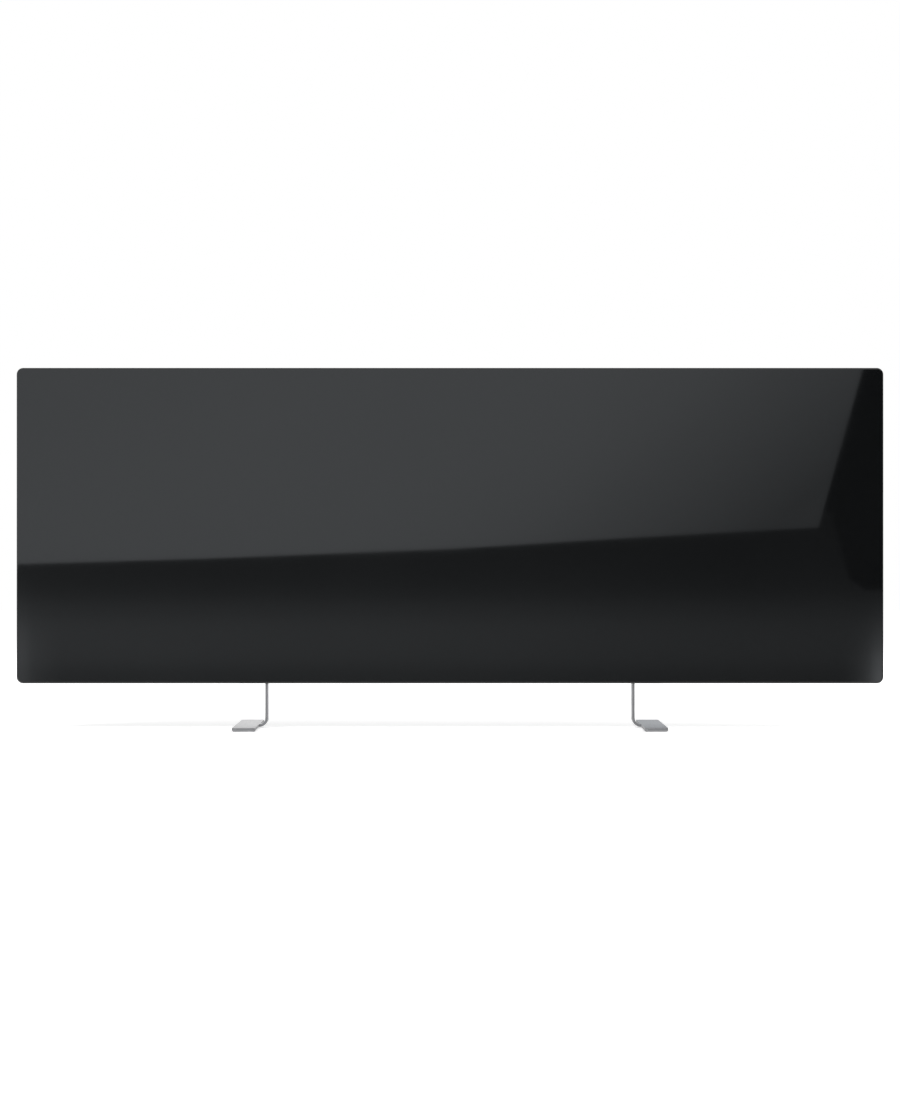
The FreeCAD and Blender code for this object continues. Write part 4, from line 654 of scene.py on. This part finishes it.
def bar(length, width):
    """Outline of a bar with rounded ends, lying along the first axis."""
    reach = (length - width) / 2
    points = []
    for index in range(RING_STEPS + 1):
        angle = -math.pi / 2 + 2 * math.pi * index / RING_STEPS
        side = 1 if index <= RING_STEPS / 2 else -1
        points.append((side * reach + width / 2 * math.cos(angle), width / 2 * math.sin(angle)))
    return points[:-1]


def circle(radius):
    angles = [2 * math.pi * index / RING_STEPS for index in range(RING_STEPS)]
    return [(radius * math.cos(angle), radius * math.sin(angle)) for angle in angles]


def turned(points):
    """An outline turned by a quarter."""
    return [(-b, a) for a, b in points]


def shifted(points, across, up):
    return [(a + across, b + up) for a, b in points]


def raised(solid, seat, outer, inner=None):
    """Raises a flat sign on the plane of the seat, whole or as a ring between two outlines."""
    def loop(points, level):
        return [solid.verts.new(seat @ Vector((a, b, level))) for a, b in points]

    low, high = loop(outer, 0), loop(outer, SIGN_HEIGHT)
    bands = [(low, high)]
    if inner:
        inner_low, inner_high = loop(inner, 0), loop(inner, SIGN_HEIGHT)
        bands += [(inner_high, inner_low), (high, inner_high), (inner_low, low)]
    else:
        solid.faces.new(high)
        solid.faces.new(list(reversed(low)))
    for first, second in bands:
        bridge(solid, first, second)


def seat_on(node, y, z):
    """Frame on a node's face, looking out along X, found by looking back at it from the right."""
    start = Vector((cad_box[1][0] + SIGHT_START, y, z))
    _, place, normal, _ = nodes[node].ray_cast(start, Vector((-1, 0, 0)))
    up = (Vector((0, 0, 1)) - normal * normal.z).normalized()
    right = up.cross(normal)
    turn = Matrix((right, up, normal)).transposed().to_4x4()
    return Matrix.Translation(place) @ turn


def add_signs():
    """Raised signs on the buttons and on both halves of the rocker key."""
    long_bar = bar(SIGN_SIZE, SIGN_STROKE)
    half_bar = bar((SIGN_SIZE - SIGN_STROKE) / 2, SIGN_STROKE)
    upper_arm = turned(shifted(half_bar, (SIGN_SIZE + SIGN_STROKE) / 4, 0))
    lower_arm = turned(turned(upper_arm))
    signs = {
        "plus": [(long_bar, None), (upper_arm, None), (lower_arm, None)],
        "minus": [(long_bar, None)],
        "mode": [(circle(SIGN_SIZE / 2), circle(SIGN_SIZE / 2 - SIGN_STROKE)), (circle(SIGN_STROKE), None)],
    }
    for body, shapes in signs.items():
        low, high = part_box("button_" + body)
        seat = seat_on("button_" + body, (low.y + high.y) / 2, (low.z + high.z) / 2)
        solid = bmesh.new()
        for outer, inner in shapes:
            raised(solid, seat, outer, inner)
        new_object(body + "_sign", solid, SIGN_INK, body)
    low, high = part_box("rocker_key")
    middle_y, middle_z = (low.y + high.y) / 2, (low.z + high.z) / 2
    solid = bmesh.new()
    raised(solid, seat_on("rocker_key", middle_y, middle_z + ROCKER_SIGN_OFFSET),
           turned(bar(ROCKER_SIGN_SIZE, SIGN_STROKE)))
    raised(solid, seat_on("rocker_key", middle_y, middle_z - ROCKER_SIGN_OFFSET),
           circle(ROCKER_SIGN_SIZE / 2), circle(ROCKER_SIGN_SIZE / 2 - SIGN_STROKE))
    new_object("rocker_signs", solid, SIGN_INK, "rocker")


def add_digits():
    """Two unlit seven-segment digits on the display, one above the other, read from the right."""
    low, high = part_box("display_module")
    across, level = (low.y + high.y) / 2, (low.z + high.z) / 2
    flat_bar = bar(DIGIT_WIDTH - DIGIT_BAR_STOP, DIGIT_STROKE)
    upright_bar = turned(bar(DIGIT_HEIGHT / 2 - DIGIT_BAR_STOP, DIGIT_STROKE))
    half_width = (DIGIT_WIDTH - DIGIT_STROKE) / 2
    half_height = (DIGIT_HEIGHT - DIGIT_STROKE) / 2
    facing_right = Matrix(((0, 0, 1), (1, 0, 0), (0, 1, 0))).to_4x4()
    solid = bmesh.new()
    for side in (-1, 1):
        middle = Vector((high.x, across, level + side * (DIGIT_HEIGHT + DIGIT_GAP) / 2))
        seat = Matrix.Translation(middle) @ facing_right
        for up in (-half_height, 0, half_height):
            raised(solid, seat, shifted(flat_bar, 0, up))
        for along in (-half_width, half_width):
            for up in (-half_height / 2, half_height / 2):
                raised(solid, seat, shifted(upright_bar, along, up))
    new_object("display_digits", solid, DIGIT_INK, "heater")


def stage_object(name, corners, material):
    mesh = bpy.data.meshes.new(name)
    mesh.from_pydata([tuple(corner) for corner in corners], [], [tuple(range(len(corners)))])
    mesh.materials.append(material)
    piece = bpy.data.objects.new(name, mesh)
    bpy.context.scene.collection.objects.link(piece)
    return piece


class Emitter(Graph):
    """Emission for a card, whose strength is a product of curves along chosen directions."""

    def __init__(self, name, level=0.0, see_through=False):
        self.material = bpy.data.materials.new(name)
        self.material.use_nodes = True
        super().__init__(self.material.node_tree)
        self.tree.nodes.clear()
        self.place = self.add("ShaderNodeTexCoord").outputs["Object"]
        self.emission = self.add("ShaderNodeEmission")
        self.emission.inputs["Color"].default_value = CARD_TINT
        self.emission.inputs["Strength"].default_value = level
        self.strength = None
        shader = self.emission.outputs["Emission"]
        if see_through:
            clear = self.add("ShaderNodeBsdfTransparent").outputs["BSDF"]
            shader = self.feed(self.add("ShaderNodeAddShader"), [shader, clear])["Shader"]
        self.link(shader, self.add("ShaderNodeOutputMaterial").inputs["Surface"])

    def follow(self, way, levels):
        """Multiplies the strength by a curve through (place, level) pairs along a direction in X and Z."""
        start, end = levels[0][0], levels[-1][0]
        top = max(level for _, level in levels)
        along = self.vector("DOT_PRODUCT", self.place, (way[0], 0, way[1]))["Value"]
        curve = self.add("ShaderNodeFloatCurve")
        points = curve.mapping.curves[0].points
        while len(points) < len(levels):
            points.new(0.5, 0.5)
        for point, (where, level) in zip(points, levels):
            point.location = ((where - start) / (end - start), level / top)
        curve.mapping.update()
        self.link(self.ranged(along, (start, end)), curve.inputs["Value"])
        value = self.calc("MULTIPLY", curve.outputs["Value"], top)
        self.strength = self.calc("MULTIPLY", self.strength, value) if self.strength else value
        self.link(self.strength, self.emission.inputs["Strength"])


def only_in_mirrors(card):
    card.visible_camera = False
    card.visible_diffuse = False
    card.visible_shadow = False
    card.visible_transmission = False
    card.visible_volume_scatter = False


def mirrored_card(name, outline, distance, curves=(), see_through=False, level=0.0):
    """Card in front of the glass, mirrored to the camera with the outline and levels given on the glass."""
    growth = 1 + distance / CAMERA_DISTANCE
    shift = CAMERA_HEIGHT * (1 - growth)
    light = Emitter(name, level, see_through)
    for way, levels in curves:
        light.follow(way, [(growth * where + way[1] * shift, amount) for where, amount in levels])
    corners = [(x * growth, glass_front - distance, z * growth + shift) for x, z in outline]
    only_in_mirrors(stage_object(name, corners, light.material))


def add_reflections():
    """Cards and flags that the glass, its right rim and the right foot mirror."""
    near, far = CARD_DISTANCE, CARD_DISTANCE + CARD_STEP
    mirrored_card("softbox_card", SOFTBOX_OUTLINE, near, [(SOFTBOX_WAY, SOFTBOX_LEVELS)])
    mirrored_card("glow_card", GLOW_OUTLINE, far, [((0, 1), GLOW_LEVELS), ((1, 0), GLOW_FADE)])
    mirrored_card("dark_flag", FLAG_OUTLINE, far + CARD_STEP, level=FLAG_LEVEL)
    for name, side, across, rise in (
        ("left_corner_card", -1, LEFT_CORNER_ACROSS, LEFT_CORNER_RISE),
        ("right_corner_card", 1, RIGHT_CORNER_ACROSS, RIGHT_CORNER_RISE),
    ):
        inner, outer = side * across[0][0], side * across[-1][0]
        bottom, top = rise[0][0], rise[-1][0]
        outline = ((inner, bottom), (outer, bottom), (outer, top), (inner, top))
        mirrored_card(name, outline, near - CARD_STEP, [((side, 0), across), ((0, 1), rise)], True)

    low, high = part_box("front_glass")
    beside, front = high.x + RIM_FLAG_GAP, low.y - RIM_FLAG_REACH
    rim_flag = [
        (beside, front, low.z), (beside, low.y, low.z), (beside, low.y, high.z), (beside, front, high.z),
    ]
    only_in_mirrors(stage_object("rim_flag", rim_flag, Emitter("rim_flag").material))

    left, right = FOOT_CARD_SPAN
    foot_card = [
        (left, FOOT_CARD_PLACE, 0), (right, FOOT_CARD_PLACE, 0),
        (right, FOOT_CARD_PLACE, FOOT_CARD_HEIGHT), (left, FOOT_CARD_PLACE, FOOT_CARD_HEIGHT),
    ]
    only_in_mirrors(stage_object("foot_card", foot_card, Emitter("foot_card", FOOT_CARD_LEVEL).material))


def floor_material():
    """Pale floor that keeps its shadows and meets the white background."""
    matt = {"Roughness": FLOOR_ROUGHNESS, "Specular IOR Level": 0.0}
    surface = Surface("studio_floor", Base_Color=FLOOR_COLOUR, **matt)
    away = surface.vector("LENGTH", surface.place)["Value"]
    lift = surface.ranged(away, FLOOR_FADE, FLOOR_LIFT)
    emission = surface.add("ShaderNodeEmission")
    surface.link(surface.calc("MULTIPLY", surface.seen_directly(), lift), emission.inputs["Strength"])
    shaders = [surface.shader.outputs["BSDF"], emission.outputs["Emission"]]
    both = surface.feed(surface.add("ShaderNodeAddShader"), shaders)["Shader"]
    surface.link(both, surface.tree.nodes["Material Output"].inputs["Surface"])
    return surface.material


def add_floor():
    half = FLOOR_SIZE / 2
    corners = [(-half, -half, 0), (half, -half, 0), (half, half, 0), (-half, half, 0)]
    stage_object("studio_floor", corners, floor_material())


def add_world():
    """White to the eye, in mirrors and through glass, and softer as light on the object."""
    world = bpy.data.worlds.new("studio")
    world.use_nodes = True
    graph = Graph(world.node_tree)
    background = world.node_tree.nodes["Background"]
    background.inputs["Color"].default_value = (1, 1, 1, 1)
    graph.link(graph.ranged(graph.seen_directly(), (0, 1), (AMBIENT, 1)), background.inputs["Strength"])
    bpy.context.scene.world = world


def add_lamps():
    middle = Vector((0, 0, cad_box[1][2] / 2))
    for name, facts in LAMPS.items():
        data = bpy.data.lights.new(name, "AREA")
        data.shape = "DISK"
        data.size = facts["size"]
        data.energy = facts["power"]
        lamp = bpy.data.objects.new(name, data)
        lamp.location = facts["place"]
        lamp.rotation_euler = (middle - Vector(facts["place"])).to_track_quat("-Z", "Y").to_euler()
        lamp.visible_glossy = False
        bpy.context.scene.collection.objects.link(lamp)


def add_camera():
    data = bpy.data.cameras.new("camera")
    data.sensor_fit = "VERTICAL"
    data.sensor_height = SENSOR_MM
    data.lens = LENS_MM
    data.clip_end = VIEW_DEPTH
    camera = bpy.data.objects.new("camera", data)
    camera.location = (0, glass_front - CAMERA_DISTANCE, CAMERA_HEIGHT)
    camera.rotation_euler = (math.pi / 2, 0, 0)
    bpy.context.scene.collection.objects.link(camera)
    bpy.context.scene.camera = camera


finish_nodes()
add_screws()
add_gland_cap()
add_signs()
add_digits()
add_floor()
add_world()
add_lamps()
add_reflections()
add_camera()
bpy.context.scene.view_settings.view_transform = "Standard"
